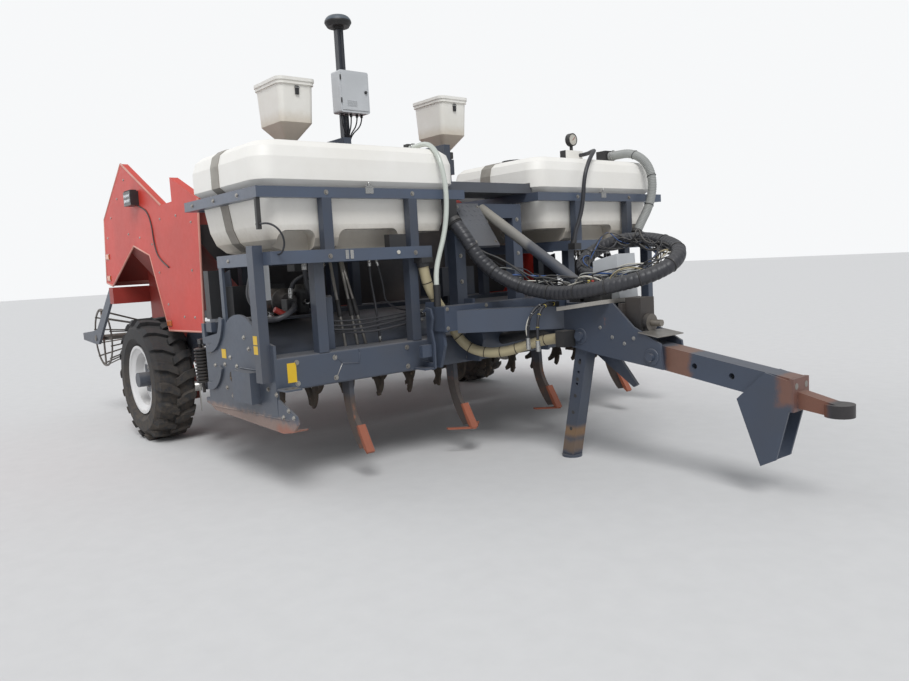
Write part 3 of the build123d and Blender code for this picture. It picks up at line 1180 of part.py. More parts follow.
# Hose routes from the tank rails' front: name, diameter, points
HOSES = [
    ("hose_loom", 80, [
        (40, -430, 1384), (90, -422, 1330), (132, -405, 1256), (172, -374, 1172), (235, -322, 1092),
        (312, -262, 1030), (400, -212, 990), (503, -182, 966), (622, -168, 960), (741, -158, 968),
        (858, -125, 985), (972, -64, 1008), (1068, 12, 1038), (1128, 95, 1080), (1132, 182, 1126),
        (1080, 262, 1168), (990, 326, 1200), (880, 368, 1224), (762, 390, 1240), (645, 388, 1242),
        (540, 358, 1226), (468, 296, 1188), (452, 214, 1136), (492, 148, 1090), (556, 108, 1056),
        (628, 96, 1045), (700, 96, 1045),
    ]),
    ("suction_hose", 60, [
        (-30, -630, 1150), (-30, -620, 1080), (-27, -592, 1008), (-23, -550, 938), (-20, -502, 868),
        (-18, -458, 796), (-8, -420, 724), (26, -384, 662), (92, -344, 626), (176, -298, 616),
        (264, -246, 630), (355, -193, 662), (450, -155, 692), (560, -140, 705),
    ]),
    ("clear_hose", 30, [
        (-290, -480, 1866), (-225, -480, 1866), (-158, -484, 1870), (-96, -488, 1858), (-44, -492, 1824),
        (-4, -494, 1772), (20, -493, 1710), (32, -489, 1642), (36, -485, 1572), (36, -486, 1500),
        (36, -494, 1428), (36, -508, 1356), (38, -532, 1286), (41, -562, 1218), (44, -588, 1152),
        (45, -600, 1086), (45, -600, 1040),
    ]),
    ("fill_hose", 65, [
        (-290, 1420, 1900), (-208, 1420, 1900), (-126, 1427, 1902), (-50, 1438, 1876), (12, 1450, 1824),
        (50, 1458, 1752), (66, 1457, 1670), (68, 1444, 1590), (66, 1416, 1514), (63, 1374, 1446),
        (58, 1324, 1386), (53, 1280, 1320),
    ]),
    ("vent_hose", 28, [
        (-275, 1060, 1890), (-212, 1060, 1890), (-150, 1040, 1898), (-96, 1004, 1896), (-54, 952, 1884),
        (-18, 894, 1862), (12, 836, 1830), (32, 784, 1784), (40, 745, 1726), (41, 724, 1658),
        (42, 713, 1588), (42, 702, 1518), (40, 684, 1450), (36, 658, 1384), (30, 630, 1322),
        (28, 615, 1266),
    ]),
    ("coupler_hose_rear", 16, [
        (490, -150, 900), (490, -192, 900), (486, -232, 892), (480, -264, 868), (474, -285, 834),
        (469, -295, 795), (466, -299, 755), (466, -299, 716),
    ]),
    ("coupler_hose_front", 16, [
        (530, -150, 900), (530, -192, 900), (532, -232, 892), (535, -264, 868), (538, -285, 834),
        (540, -295, 795), (541, -299, 755), (541, -299, 708),
    ]),
    ("sensor_cable", 10, [
        (-10, -1638, 1402), (16, -1638, 1402), (42, -1632, 1402), (66, -1620, 1397), (84, -1604, 1384),
        (93, -1588, 1364), (94, -1574, 1340), (87, -1564, 1315), (74, -1558, 1292), (57, -1556, 1273),
        (39, -1556, 1258), (20, -1556, 1250), (0, -1556, 1250),
    ]),
]
COUPLED = ["coupler_hose_rear", "coupler_hose_front"]
COUPLER_R = 13
COUPLER_L = 62
GLAND_GRIP = 6                # how much wider a gland is than its hose, in radius
GLAND_L = 26

# Fittings that the hoses leave and enter, each a block with a gland in line with the hose
ELBOW_X = RAIL_X + 560
with BuildPart() as hose_fittings:
    for name, diameter, points in HOSES:
        for end, inner in ((points[0], points[1]), (points[-1], points[-2])):
            way = (Vector(*end) - Vector(*inner)).normalized()
            face = Vector(RAIL_X + end[0], end[1], end[2])
            if name not in COUPLED or end == points[0]:
                rod(tuple(face), tuple(face + way * GLAND_L), diameter / 2 + GLAND_GRIP)
    block(RAIL_X + 475, RAIL_X + 545, -150, -118, ARM_TOP, ARM_TOP + 27)
    block(RAIL_X - 30, RAIL_X - 10, -POST_OUT, -POST_OUT + 22, 1376, RAIL_BOTTOM)
    block(RAIL_X - 20, RAIL_X, -480, -380, 1352, RAIL_BOTTOM)
    block(RAIL_X - 72, RAIL_X + 12, -672, -588, 1170, BASE_BOTTOM)
    block(ELBOW_X + 12, ELBOW_X + 80, -190, -CHEEK_OUT, 660, 750)
    rod((RAIL_X + 45, -600, CROSS_TUBE_TOP), (RAIL_X + 45, -600, 1030), 20)
    block(RAIL_X, RAIL_X + 96, 1215, 1320, 1204, 1300)
    block(RAIL_X, RAIL_X + 60, 585, 650, 1204, 1246)
    add([tanks.part, control_boxes.part, frame_posts.part, tank_cross_members.part], mode=Mode.SUBTRACT)
save(hose_fittings, "hose_fittings")


def arc_radii(points):
    """Radius at each inner corner of a cord's route, as large as its two runs allow."""
    radii = []
    for before, here, after in zip(points, points[1:], points[2:]):
        first, second = Vector(*here) - Vector(*before), Vector(*after) - Vector(*here)
        turn = radians(first.get_angle(second))
        radii.append(0.45 * min(first.length, second.length) / tan(turn / 2))
    return radii


def hose(name, points, diameter):
    """Make one hose along its route and write it."""
    radii = arc_radii(points)
    with BuildPart() as tube:
        with BuildLine() as route:
            FilletPolyline(*points, radius=radii)
        with BuildSketch(Plane(origin=points[0], z_dir=Vector(*points[1]) - Vector(*points[0]))) as section:
            Circle(diameter / 2)
        sweep(section.sketch, path=route.wire())
    length = route.wire().length
    expected = pi * diameter**2 / 4 * length
    print(name, "length", round(length), "volume ratio", round(tube.part.volume / expected, 4),
          "radii", [round(r) for r in radii])
    save(tube, name)


# Each hose is a plain tube along its route, and the two coupled ones end in a hanging coupler
for name, diameter, points in HOSES:
    hose(name, [(RAIL_X + x, y, z) for x, y, z in points], diameter)
    if name in COUPLED:
        end_x, end_y, end_z = points[-1]
        with BuildPart() as coupler:
            rod((RAIL_X + end_x, end_y, end_z), (RAIL_X + end_x, end_y, end_z - COUPLER_L), COUPLER_R)
        save(coupler, name.replace("hose_", ""))
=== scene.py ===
"""Looks of a trailed potato planter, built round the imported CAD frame."""

import logging
import math
import random
from collections.abc import Callable
from dataclasses import dataclass, field
from enum import Enum

import bmesh
import bpy
from mathutils import Matrix, Vector


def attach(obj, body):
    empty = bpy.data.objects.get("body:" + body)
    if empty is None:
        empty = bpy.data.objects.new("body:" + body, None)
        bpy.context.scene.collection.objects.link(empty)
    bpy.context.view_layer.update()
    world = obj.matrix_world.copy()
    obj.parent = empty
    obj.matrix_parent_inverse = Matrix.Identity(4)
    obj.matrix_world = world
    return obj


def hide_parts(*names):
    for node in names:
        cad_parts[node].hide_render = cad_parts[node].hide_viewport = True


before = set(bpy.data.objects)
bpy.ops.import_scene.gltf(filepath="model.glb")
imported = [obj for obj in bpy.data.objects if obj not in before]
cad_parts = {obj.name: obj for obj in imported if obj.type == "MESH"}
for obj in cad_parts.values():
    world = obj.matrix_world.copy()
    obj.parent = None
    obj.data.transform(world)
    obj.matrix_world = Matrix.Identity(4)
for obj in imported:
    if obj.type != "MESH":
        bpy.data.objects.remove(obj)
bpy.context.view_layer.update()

LOG = logging.getLogger("planter")
RAIL = 0.9125                  # front face of the tank rails, the datum of the stations
Point = tuple[float, float, float]
Colour = tuple[float, float, float]
Span = tuple[float, float]


def at(station: float, across: float, height: float) -> Point:
    """Turn a station from the tank rails in millimetres into a point in metres.

    Args:
        station: distance ahead of the rails' front face.
        across: distance to the left of the middle.
        height: height over the ground.

    Returns:
        The point in the frame.
    """
    return RAIL + station / 1000, across / 1000, height / 1000


def flank(side: int) -> str:
    """Name of the machine's side, which is right for -1 and left for 1."""
    return "right" if side < 0 else "left"


class Value:
    """A shader socket that takes part in Python maths."""

    def __init__(self, tree: "ShaderTree", socket: bpy.types.NodeSocket) -> None:
        """Hold the socket and the tree it lives in."""
        self.tree = tree
        self.socket = socket

    def _math(self, operation: str, first: object, second: object) -> "Value":
        """Add one Math node for an operation on two values."""
        return self.tree.node("ShaderNodeMath", {"operation": operation}, {0: first, 1: second})

    def __add__(self, other: object) -> "Value":
        """Add."""
        return self._math("ADD", self, other)

    def __sub__(self, other: object) -> "Value":
        """Subtract."""
        return self._math("SUBTRACT", self, other)

    def __rsub__(self, other: object) -> "Value":
        """Subtract from a number."""
        return self._math("SUBTRACT", other, self)

    def __mul__(self, other: object) -> "Value":
        """Multiply."""
        return self._math("MULTIPLY", self, other)

    def __truediv__(self, other: object) -> "Value":
        """Divide."""
        return self._math("DIVIDE", self, other)

    __radd__ = __add__
    __rmul__ = __mul__

    def step(self, low: float, high: float) -> "Value":
        """Rise smoothly from 0 at low to 1 at high.

        Args:
            low: value at which the result starts to rise.
            high: value at which it reaches 1.

        Returns:
            The smooth step.
        """
        return self.tree.node(
            "ShaderNodeMapRange", {"interpolation_type": "SMOOTHSTEP"},
            {"Value": self, "From Min": low, "From Max": high},
        )


class ShaderTree:
    """The node tree of a material or a world, with a single way to add any node."""

    def __init__(self, owner: bpy.types.Material | bpy.types.World) -> None:
        """Empty the owner's tree."""
        self.owner = owner
        owner.use_nodes = True
        self.tree = owner.node_tree
        self.tree.nodes.clear()

    def node(self, kind: str, settings: dict | None = None, inputs: dict | None = None,
             output: int | str = 0) -> Value:
        """Add a node, set its options, then its sockets.

        Args:
            kind: the node's type.
            settings: attributes that are set first.
            inputs: socket name or number to a value or a link.
            output: name or number of the output that is returned.

        Returns:
            The chosen output.
        """
        made = self.tree.nodes.new(kind)
        for name, value in (settings or {}).items():
            setattr(made, name, value)
        for key, value in (inputs or {}).items():
            if isinstance(value, Value):
                self.tree.links.new(value.socket, made.inputs[key])
            else:
                socket = made.inputs[key]
                wide = socket.type == "RGBA" and len(value) == 3
                socket.default_value = (*value, 1.0) if wide else value
        return Value(self, made.outputs[output])

    def place(self) -> Value:
        """Object coordinates, which are the frame's own metres."""
        return self.node("ShaderNodeTexCoord", output="Object")

    def axes(self, vector: Value) -> tuple[Value, Value, Value]:
        """Split a vector into its three numbers."""
        first = self.node("ShaderNodeSeparateXYZ", None, {0: vector})
        outputs = first.socket.node.outputs
        return first, Value(self, outputs[1]), Value(self, outputs[2])

    def stretched(self, vector: Value, scale: Point) -> Value:
        """Scale a vector on its three axes."""
        return self.node("ShaderNodeVectorMath", {"operation": "MULTIPLY"}, {0: vector, 1: scale})

    def noise(self, vector: Value, scale: float, detail: float = 3.0, rough: float = 0.55) -> Value:
        """Noise from 0 to 1 at a scale per metre."""
        return self.node("ShaderNodeTexNoise", None,
                         {"Vector": vector, "Scale": scale, "Detail": detail, "Roughness": rough})

    def mix(self, factor: object, first: object, second: object) -> Value:
        """Mix two colours."""
        return self.node("ShaderNodeMix", {"data_type": "RGBA"}, {0: factor, 6: first, 7: second}, 2)

    def finish(self, surface: Value, output: str = "ShaderNodeOutputMaterial") -> bpy.types.ID:
        """Join a surface to the tree's output and return the owner."""
        out = self.tree.nodes.new(output)
        self.tree.links.new(surface.socket, out.inputs["Surface"])
        return self.owner


class Grain(Enum):
    """What the surface feels like close up."""

    SMOOTH = "smooth"
    MOULDED = "moulded"
    CAST = "cast"
    BRUSHED = "brushed"
    SOIL = "soil"


ANY = (-10.0, 10.0)             # a span that takes in the whole machine
WHOLE_SPAN = 9.0                # longer spans put no bound on a zone


@dataclass(frozen=True)
class Zone:
    """A box of space in which a finish turns to another colour."""

    low: Point
    high: Point
    colour: Colour
    strength: float = 1.0
    soft: float = 0.02
    ragged: float = 0.03
    metal: float = 0.0


@dataclass(frozen=True)
class Finish:
    """A worn outdoor finish, with its dust, rust and dirt, and zones of other colour, some of which are painted
    shade.
    """

    name: str
    colour: Colour
    shade: Colour
    rough: float = 0.5
    metal: float = 0.0
    dust: float = 0.3
    rust: float = 0.0
    mud: float = 0.0
    grain: Grain = Grain.SMOOTH
    zones: tuple[Zone, ...] = ()
    coat: float = 0.0
    dust_colour: Colour = (0.33, 0.30, 0.26)
    rust_colour: Colour = (0.20, 0.075, 0.035)
    mud_top: float = 0.7

    def zone_mask(self, zone: Zone, axes: tuple[Value, ...], torn: Value) -> Value:
        """Mask that is 1 inside a zone, with a ragged edge."""
        mask = None
        for axis, low, high in zip(axes, zone.low, zone.high):
            if high - low > WHOLE_SPAN:
                continue
            moved = axis + (torn - 0.5) * (2 * zone.ragged)
            inside = moved.step(low - zone.soft, low + zone.soft) * (
                1 - moved.step(high - zone.soft, high + zone.soft))
            mask = inside if mask is None else mask * inside
        return mask * zone.strength

    def material(self) -> bpy.types.Material:
        """Build the material, once for each finish.

        Returns:
            The material of this finish.
        """
        known = bpy.data.materials.get(self.name)
        if known:
            return known
        tree = ShaderTree(bpy.data.materials.new(self.name))
        place = tree.place()
        axes = tree.axes(place)
        broad = tree.noise(place, 2.3, 4.0)
        fine = tree.noise(place, 31.0, 5.0, 0.65)
        grit = tree.noise(place, 190.0, 2.0)
        streak = tree.noise(tree.stretched(place, (14.0, 14.0, 1.6)), 1.0, 4.0, 0.6)
        colour = tree.mix(broad.step(0.32, 0.68) * 0.7 + fine * 0.3, self.colour, self.shade)
        up = tree.axes(tree.node("ShaderNodeNewGeometry", output="Normal"))[2]
        rough = fine * 0.18 + (self.rough - 0.09)
        metal: object = self.metal
        torn = tree.noise(place, 17.0, 5.0, 0.7)
        for zone in self.zones:
            mask = self.zone_mask(zone, axes, torn)
            colour = tree.mix(mask, colour, tree.mix(fine * 0.5 + grit * 0.2, zone.colour,
                                                     tuple(0.55 * part for part in zone.colour)))
            rough = rough + mask * (0.08 - 0.25 * zone.metal)
            metal = mask * (zone.metal - self.metal) + metal
        if self.rust:
            patches = (streak * 0.55 + torn * 0.45).step(0.66 - 0.22 * self.rust, 0.76 - 0.16 * self.rust)
            colour = tree.mix(patches * min(1.0, 0.35 + self.rust), colour,
                              tree.mix(fine, self.rust_colour, tuple(1.9 * part for part in self.rust_colour)))
            rough = rough + patches * 0.25
            if self.metal:
                metal = (1 - patches * 0.9) * metal
        if self.dust:
            laid = (up.step(0.25, 0.95) * 0.75 + broad.step(0.35, 0.75) * 0.28) * (fine * 0.6 + 0.5)
            colour = tree.mix(laid * self.dust, colour, self.dust_colour)
            rough = rough + laid * (0.3 * self.dust)
        if self.mud:
            low = 1 - (axes[2] + (torn - 0.5) * 0.5).step(self.mud_top * 0.25, self.mud_top)
            caked = low * (torn * 0.6 + fine * 0.5).step(0.42, 0.62)
            colour = tree.mix(caked * self.mud, colour, (0.17, 0.135, 0.10))
            rough = rough + caked * 0.3
        height = {
            Grain.SMOOTH: fine * 0.25,
            Grain.MOULDED: grit * 0.5 + broad * 0.6,
            Grain.CAST: grit * 0.9 + fine * 0.5,
            Grain.BRUSHED: tree.noise(tree.stretched(place, (9.0, 160.0, 160.0)), 1.0, 2.0) * 0.8,
            Grain.SOIL: torn * 1.6 + grit * 0.8,
        }[self.grain]
        bump = tree.node("ShaderNodeBump", None, {"Strength": 0.35, "Distance": 0.002, "Height": height})
        sockets = {"Base Color": colour, "Roughness": rough, "Metallic": metal, "Normal": bump}
        if self.coat:
            sockets["Coat Weight"] = self.coat
        return tree.finish(tree.node("ShaderNodeBsdfPrincipled", None, sockets))


RUST: Colour = (0.23, 0.085, 0.042)


def zone(x: tuple = ANY, y: tuple = ANY, z: tuple = ANY, colour: Colour = RUST, **more: float) -> Zone:
    """Shorthand for a zone given by its spans, stations in metres from the rails.

    Args:
        x: span of stations.
        y: span across.
        z: span of heights.
        colour: colour inside.
        **more: other fields of the zone.

    Returns:
        The zone.
    """
    move = 0.0 if x is ANY else RAIL
    return Zone((x[0] + move, y[0], z[0]), (x[1] + move, y[1], z[1]), colour, **more)


FRAME = Finish("frame_blue_grey", (0.058, 0.074, 0.108), (0.036, 0.046, 0.068), rough=0.42, dust=0.42, rust=0.12,
               mud=0.6, coat=0.12)
FRAME_CLEAN = Finish("drawbar_blue_grey", (0.062, 0.080, 0.118), (0.044, 0.057, 0.086), rough=0.38, dust=0.30,
                     rust=0.05, coat=0.15)
LEG = Finish("stand_blue_grey", (0.058, 0.074, 0.108), (0.040, 0.052, 0.078), rough=0.42, dust=0.3, rust=0.2,
             zones=(zone(z=(0.035, 0.105), colour=(0.20, 0.13, 0.08), strength=0.8),
                    zone(z=(0.125, 0.185), colour=(0.26, 0.15, 0.07), strength=0.9, ragged=0.01)))
BAR = Finish("bar_blue_grey", (0.062, 0.080, 0.118), (0.044, 0.057, 0.086), rough=0.40, dust=0.25, rust=0.1,
             zones=(zone(x=(1.205, 1.345), colour=(0.25, 0.12, 0.075), strength=0.85, ragged=0.05),
                    zone(x=(1.80, 1.875), z=(0.45, 0.60), colour=(0.24, 0.10, 0.06), strength=0.8),
                    zone(x=(1.872, 2.02), colour=(0.22, 0.085, 0.05), strength=0.95, ragged=0.02),
                    zone(x=(2.02, 2.2), colour=(0.045, 0.042, 0.045), metal=0.3, ragged=0.01)))
END_PLATE = Finish("end_plate_blue_grey", (0.070, 0.088, 0.122), (0.048, 0.060, 0.084), rough=0.45, dust=0.38,
                   rust=0.22, coat=0.1,
                   zones=(zone(z=(0.30, 0.412), colour=(0.30, 0.20, 0.16), strength=0.85, ragged=0.05),
                          zone(x=(-0.08, 0.12), z=(0.30, 0.385), colour=(0.36, 0.13, 0.08), strength=0.8,
                               ragged=0.05)))
CROSSBEAM = Finish("crossbeam_blue_grey", (0.066, 0.083, 0.118), (0.046, 0.058, 0.084), rough=0.42, dust=0.4,
                   rust=0.14, coat=0.12)
TANK_RAIL = Finish("tank_rail_blue_grey", (0.084, 0.110, 0.162), (0.060, 0.078, 0.116), rough=0.38, dust=0.30,
                   rust=0.06, coat=0.15)
RED = Finish("hopper_red", (0.66, 0.046, 0.028), (0.53, 0.036, 0.022), rough=0.50, dust=0.12, rust=0.03,
             coat=0.05, dust_colour=(0.58, 0.28, 0.22))
# painted shade: the trough's red is a darker copy of the hopper red for its shaded inside, while its dust and rust
# are real; the near-black zone is painted shade on the trough's front wall
RED_TROUGH_PAINTED_SHADE = Finish("trough_red", (0.30, 0.040, 0.030), (0.20, 0.030, 0.024), rough=0.55, dust=0.55, rust=0.12,
                   dust_colour=(0.30, 0.22, 0.18),
                   zones=(zone(x=(-1.2035, -1.10), z=(0.50, 1.48), colour=(0.020, 0.020, 0.023), ragged=0.0,
                               soft=0.0015),))
RED_UNIT = Finish("unit_red", (0.34, 0.040, 0.030), (0.24, 0.030, 0.022), rough=0.5, dust=0.5, rust=0.15, mud=0.7)
TANK = Finish("tank_white", (0.90, 0.885, 0.845), (0.84, 0.82, 0.77), rough=0.50, dust=0.12, grain=Grain.MOULDED,
              dust_colour=(0.62, 0.58, 0.50),
              # the first zone makes the lower tank darker towards the bottom; the second is painted shade in the
              # recesses under the tank's bottom
              zones=(zone(z=(1.15, 1.50), colour=(0.84, 0.78, 0.68), strength=0.3, soft=0.10),
                     zone(z=(1.15, 1.37), colour=(0.50, 0.43, 0.33), strength=0.6, soft=0.05),
                     zone(x=(-0.39, -0.28), y=(0.90, 1.50), z=(1.846, 2.2), colour=(0.03, 0.03, 0.032),
                          ragged=0.0, soft=0.002),
                     zone(x=(-0.34, -0.28), y=(-0.52, -0.44), z=(1.846, 2.2), colour=(0.05, 0.05, 0.05),
                          ragged=0.0, soft=0.002),
                     zone(x=(-0.75, -0.53), z=(1.846, 2.2), colour=(0.05, 0.05, 0.055), ragged=0.0, soft=0.002)))
BIN = Finish("bin_white", (0.88, 0.865, 0.82), (0.79, 0.77, 0.71), rough=0.5, dust=0.14, grain=Grain.MOULDED,
             dust_colour=(0.60, 0.55, 0.45),
             zones=(zone(z=(2.0, 2.215), colour=(0.62, 0.50, 0.34), strength=0.5, soft=0.05),))
LID = Finish("lid_white", (0.87, 0.86, 0.82), (0.78, 0.76, 0.71), rough=0.48, dust=0.25, grain=Grain.MOULDED,
             dust_colour=(0.5, 0.46, 0.38),
             zones=(zone(z=(2.463, 2.60), colour=(0.03, 0.03, 0.032), ragged=0.0, soft=0.002),))
RIM = Finish("rim_white", (0.80, 0.80, 0.80), (0.68, 0.68, 0.68), rough=0.38, dust=0.3, rust=0.05, coat=0.2,
             dust_colour=(0.40, 0.36, 0.31),
             zones=(zone(x=(-2.268, -2.068), z=(0.34, 0.54), colour=(0.055, 0.066, 0.090), ragged=0.0,
                         soft=0.004),))
TYRE = Finish("tyre_black", (0.022, 0.024, 0.028), (0.036, 0.037, 0.040), rough=0.78, dust=0.22, mud=0.35,
              grain=Grain.CAST, mud_top=0.95, dust_colour=(0.13, 0.115, 0.10))
STEEL = Finish("bare_steel", (0.34, 0.33, 0.31), (0.20, 0.185, 0.17), rough=0.42, metal=0.75, dust=0.25, rust=0.35,
               grain=Grain.BRUSHED)
CAGE = Finish("cage_steel", (0.20, 0.19, 0.18), (0.12, 0.105, 0.09), rough=0.5, metal=0.55, dust=0.3, rust=0.5,
              mud=0.4)
TINES = Finish("tine_iron", (0.030, 0.028, 0.027), (0.058, 0.042, 0.034), rough=0.6, metal=0.35, dust=0.2, rust=0.3,
               mud=0.6, grain=Grain.SOIL)
SHANK = Finish("shank_worn", (0.115, 0.082, 0.066), (0.060, 0.055, 0.056), rough=0.5, metal=0.3, dust=0.3, rust=0.6,
               zones=(zone(z=(0.46, 0.60), colour=(0.055, 0.066, 0.09), strength=0.8),))
SHARE = Finish("share_rust", (0.40, 0.115, 0.055), (0.26, 0.075, 0.040), rough=0.58, dust=0.2, rust=0.5,
               rust_colour=(0.20, 0.065, 0.035))
SPRING = Finish("spring_black", (0.025, 0.026, 0.03), (0.05, 0.045, 0.045), rough=0.45, metal=0.4, dust=0.35,
                rust=0.3)
DARK = Finish("dark_plastic", (0.018, 0.019, 0.021), (0.030, 0.030, 0.032), rough=0.48, dust=0.3)
HOSE = Finish("hose_black", (0.020, 0.021, 0.026), (0.034, 0.035, 0.042), rough=0.42, dust=0.34,
              dust_colour=(0.16, 0.155, 0.15))
CREAM = Finish("hose_cream", (0.46, 0.40, 0.25), (0.33, 0.28, 0.17), rough=0.45, dust=0.3)
MILKY = Finish("hose_clear", (0.62, 0.65, 0.60), (0.48, 0.52, 0.47), rough=0.25, dust=0.1, coat=0.3)
GREY_HOSE = Finish("hose_grey", (0.36, 0.37, 0.36), (0.27, 0.28, 0.27), rough=0.5, dust=0.3)
PALE = Finish("pale_cover", (0.62, 0.60, 0.54), (0.50, 0.48, 0.42), rough=0.5, dust=0.35)
TRAY = Finish("tray_pale", (0.47, 0.45, 0.41), (0.36, 0.34, 0.31), rough=0.55, dust=0.4, rust=0.12)
BOX = Finish("box_grey_white", (0.60, 0.62, 0.64), (0.50, 0.52, 0.54), rough=0.38, dust=0.2,
             zones=(zone(x=(-1.2, -0.94), z=(0.85, 1.25), colour=(0.030, 0.032, 0.037), ragged=0.0, soft=0.003),
                    zone(x=(-0.96, -0.80), z=(0.87, 1.12), colour=(0.030, 0.032, 0.037), ragged=0.0, soft=0.003)))
MAST = Finish("mast_dark", (0.030, 0.036, 0.050), (0.022, 0.026, 0.036), rough=0.4, dust=0.2,
              zones=(zone(z=(2.885, 2.945), colour=(0.02, 0.02, 0.022), ragged=0.0, soft=0.002),
                     zone(z=(2.945, 3.1), colour=(0.10, 0.125, 0.155), ragged=0.0, soft=0.002)))
TREAD = Finish("tread_plate", (0.115, 0.125, 0.145), (0.080, 0.088, 0.105), rough=0.42, metal=0.25, dust=0.4,
               rust=0.05)
GALVANISED = Finish("galvanised_strap", (0.40, 0.38, 0.34), (0.20, 0.18, 0.155), rough=0.5, metal=0.35, dust=0.3,
                    rust=0.2, grain=Grain.CAST)
ROD = Finish("cylinder_pale", (0.36, 0.34, 0.29), (0.20, 0.20, 0.20), rough=0.4, metal=0.2, dust=0.3, rust=0.1,
             zones=(zone(x=(0.28, 0.85), colour=(0.055, 0.066, 0.09), ragged=0.02),))
GEARBOX = Finish("gearbox_dark", (0.035, 0.036, 0.040), (0.060, 0.050, 0.045), rough=0.5, metal=0.3, dust=0.4,
                 rust=0.25, grain=Grain.CAST,
                 zones=(zone(x=(1.085, 1.2), colour=(0.34, 0.31, 0.27), metal=0.7, ragged=0.0, soft=0.003),))
LAMP = Finish("lamp_black", (0.02, 0.02, 0.022), (0.03, 0.03, 0.032), rough=0.35, dust=0.2)
LENS = Finish("lamp_lens", (0.55, 0.58, 0.60), (0.42, 0.45, 0.48), rough=0.12, dust=0.1, coat=0.6)
ORANGE = Finish("reflector_orange", (0.62, 0.16, 0.02), (0.45, 0.10, 0.015), rough=0.25, dust=0.1, coat=0.5)
YELLOW = Finish("label_yellow", (0.78, 0.50, 0.02), (0.66, 0.42, 0.02), rough=0.45, dust=0.12)
BOLT = Finish("bolt_zinc", (0.42, 0.41, 0.38), (0.24, 0.22, 0.20), rough=0.38, metal=0.7, dust=0.2, rust=0.25)
SILVER = Finish("coupler_silver", (0.55, 0.55, 0.54), (0.36, 0.36, 0.35), rough=0.28, metal=0.8, dust=0.15)
BELT = Finish("cup_belt", (0.050, 0.048, 0.045), (0.080, 0.070, 0.060), rough=0.65, dust=0.4)
EDGE = Finish("panel_edge_pale", (0.70, 0.36, 0.30), (0.55, 0.20, 0.15), rough=0.55, dust=0.2, rust=0.15,
              rust_colour=(0.30, 0.10, 0.06))
SOIL = Finish("dry_soil", (0.20, 0.155, 0.11), (0.12, 0.09, 0.065), rough=0.9, dust=0.0, grain=Grain.SOIL)
WIRE_WHITE = Finish("wire_white", (0.62, 0.60, 0.54), (0.50, 0.48, 0.42), rough=0.4, dust=0.1)
WIRE_YELLOW = Finish("wire_yellow", (0.60, 0.48, 0.10), (0.48, 0.38, 0.08), rough=0.4, dust=0.1)
WIRE_BLUE = Finish("wire_blue", (0.03, 0.10, 0.32), (0.02, 0.07, 0.22), rough=0.4, dust=0.1)
WIRE_RED = Finish("wire_red", (0.42, 0.04, 0.03), (0.30, 0.03, 0.02), rough=0.4, dust=0.1)

NODE_FINISHES = {node: finish for finish, nodes in (
    (FRAME, "cage_arms frame_posts granule_beam granule_posts main_rails running_arms tiller_drive tiller_hood"),
    (CAGE, "cage_roller"), (BOX, "control_boxes"), (CROSSBEAM, "cross_members"), (BELT, "cup_belts"),
    (FRAME_CLEAN, "drawbar_arms drawbar_cheeks drawbar_mount headstock"), (DARK, "drive_shaft hose_fittings"),
    (BIN, "granule_bins"), (LID, "granule_lid_left granule_lid_right"), (RED, "hopper_sides"),
    (RED_TROUGH_PAINTED_SHADE, "hopper_trough"), (TRAY, "hose_tray"), (SHANK, "loosener_shanks"), (SHARE, "loosener_shares"),
    (RED_UNIT, "planter_toolbar planting_units"), (GEARBOX, "pto_gearbox"), (MAST, "receiver_mast"),
    (RIM, "rim_left rim_right"), (STEEL, "side_disc_left side_disc_right"), (SPRING, "springs"),
    (LEG, "stand_leg"), (TANK_RAIL, "tank_cross_members tank_side_members"), (GALVANISED, "tank_straps"),
    (TANK, "tanks"), (BAR, "telescopic_bar"), (END_PLATE, "tiller_end_plates"), (TINES, "tiller_rotor"),
    (ROD, "top_link"), (TREAD, "tread_plates"), (TYRE, "tyre_left tyre_right"), (LAMP, "work_lamps"),
    (SILVER, "coupler_rear coupler_front"),
) for node in nodes.split()}


MM = 0.001


def skin(mesh: bmesh.types.BMesh, loops: list, finish: int = 0, smooth: bool = True) -> None:
    """Join rings of points into a closed body.

    Args:
        mesh: the mesh that holds the points.
        loops: the rings, in order along the body.
        finish: number of the finish.
        smooth: whether the sides shade smoothly.
    """
    sides = len(loops[0])
    for low, high in zip(loops, loops[1:]):
        for step in range(sides):
            nxt = (step + 1) % sides
            face = mesh.faces.new((low[step], low[nxt], high[nxt], high[step]))
            face.material_index = finish
            face.smooth = smooth
    for loop in (list(reversed(loops[0])), loops[-1]):
        mesh.faces.new(loop).material_index = finish


def rings_along(mesh: bmesh.types.BMesh, line: list[Vector], reach: Callable[[int, float], float],
                sides: int) -> list:
    """Add rings of points square to a line, without twist.

    Args:
        mesh: the mesh that gets the points.
        line: places along the line, in metres.
        reach: radius in metres from a place's number and the angle round it.
        sides: points in a ring.

    Returns:
        The rings.
    """
    side = (line[1] - line[0]).orthogonal().normalized()
    loops = []
    for number, spot in enumerate(line):
        way = (line[min(number + 1, len(line) - 1)] - line[max(number - 1, 0)]).normalized()
        side = (side - way * side.dot(way)).normalized()
        other = way.cross(side)
        loops.append([mesh.verts.new(spot + (side * math.cos(turn) + other * math.sin(turn)) * reach(number, turn))
                      for turn in (2 * math.pi * part / sides for part in range(sides))])
    return loops


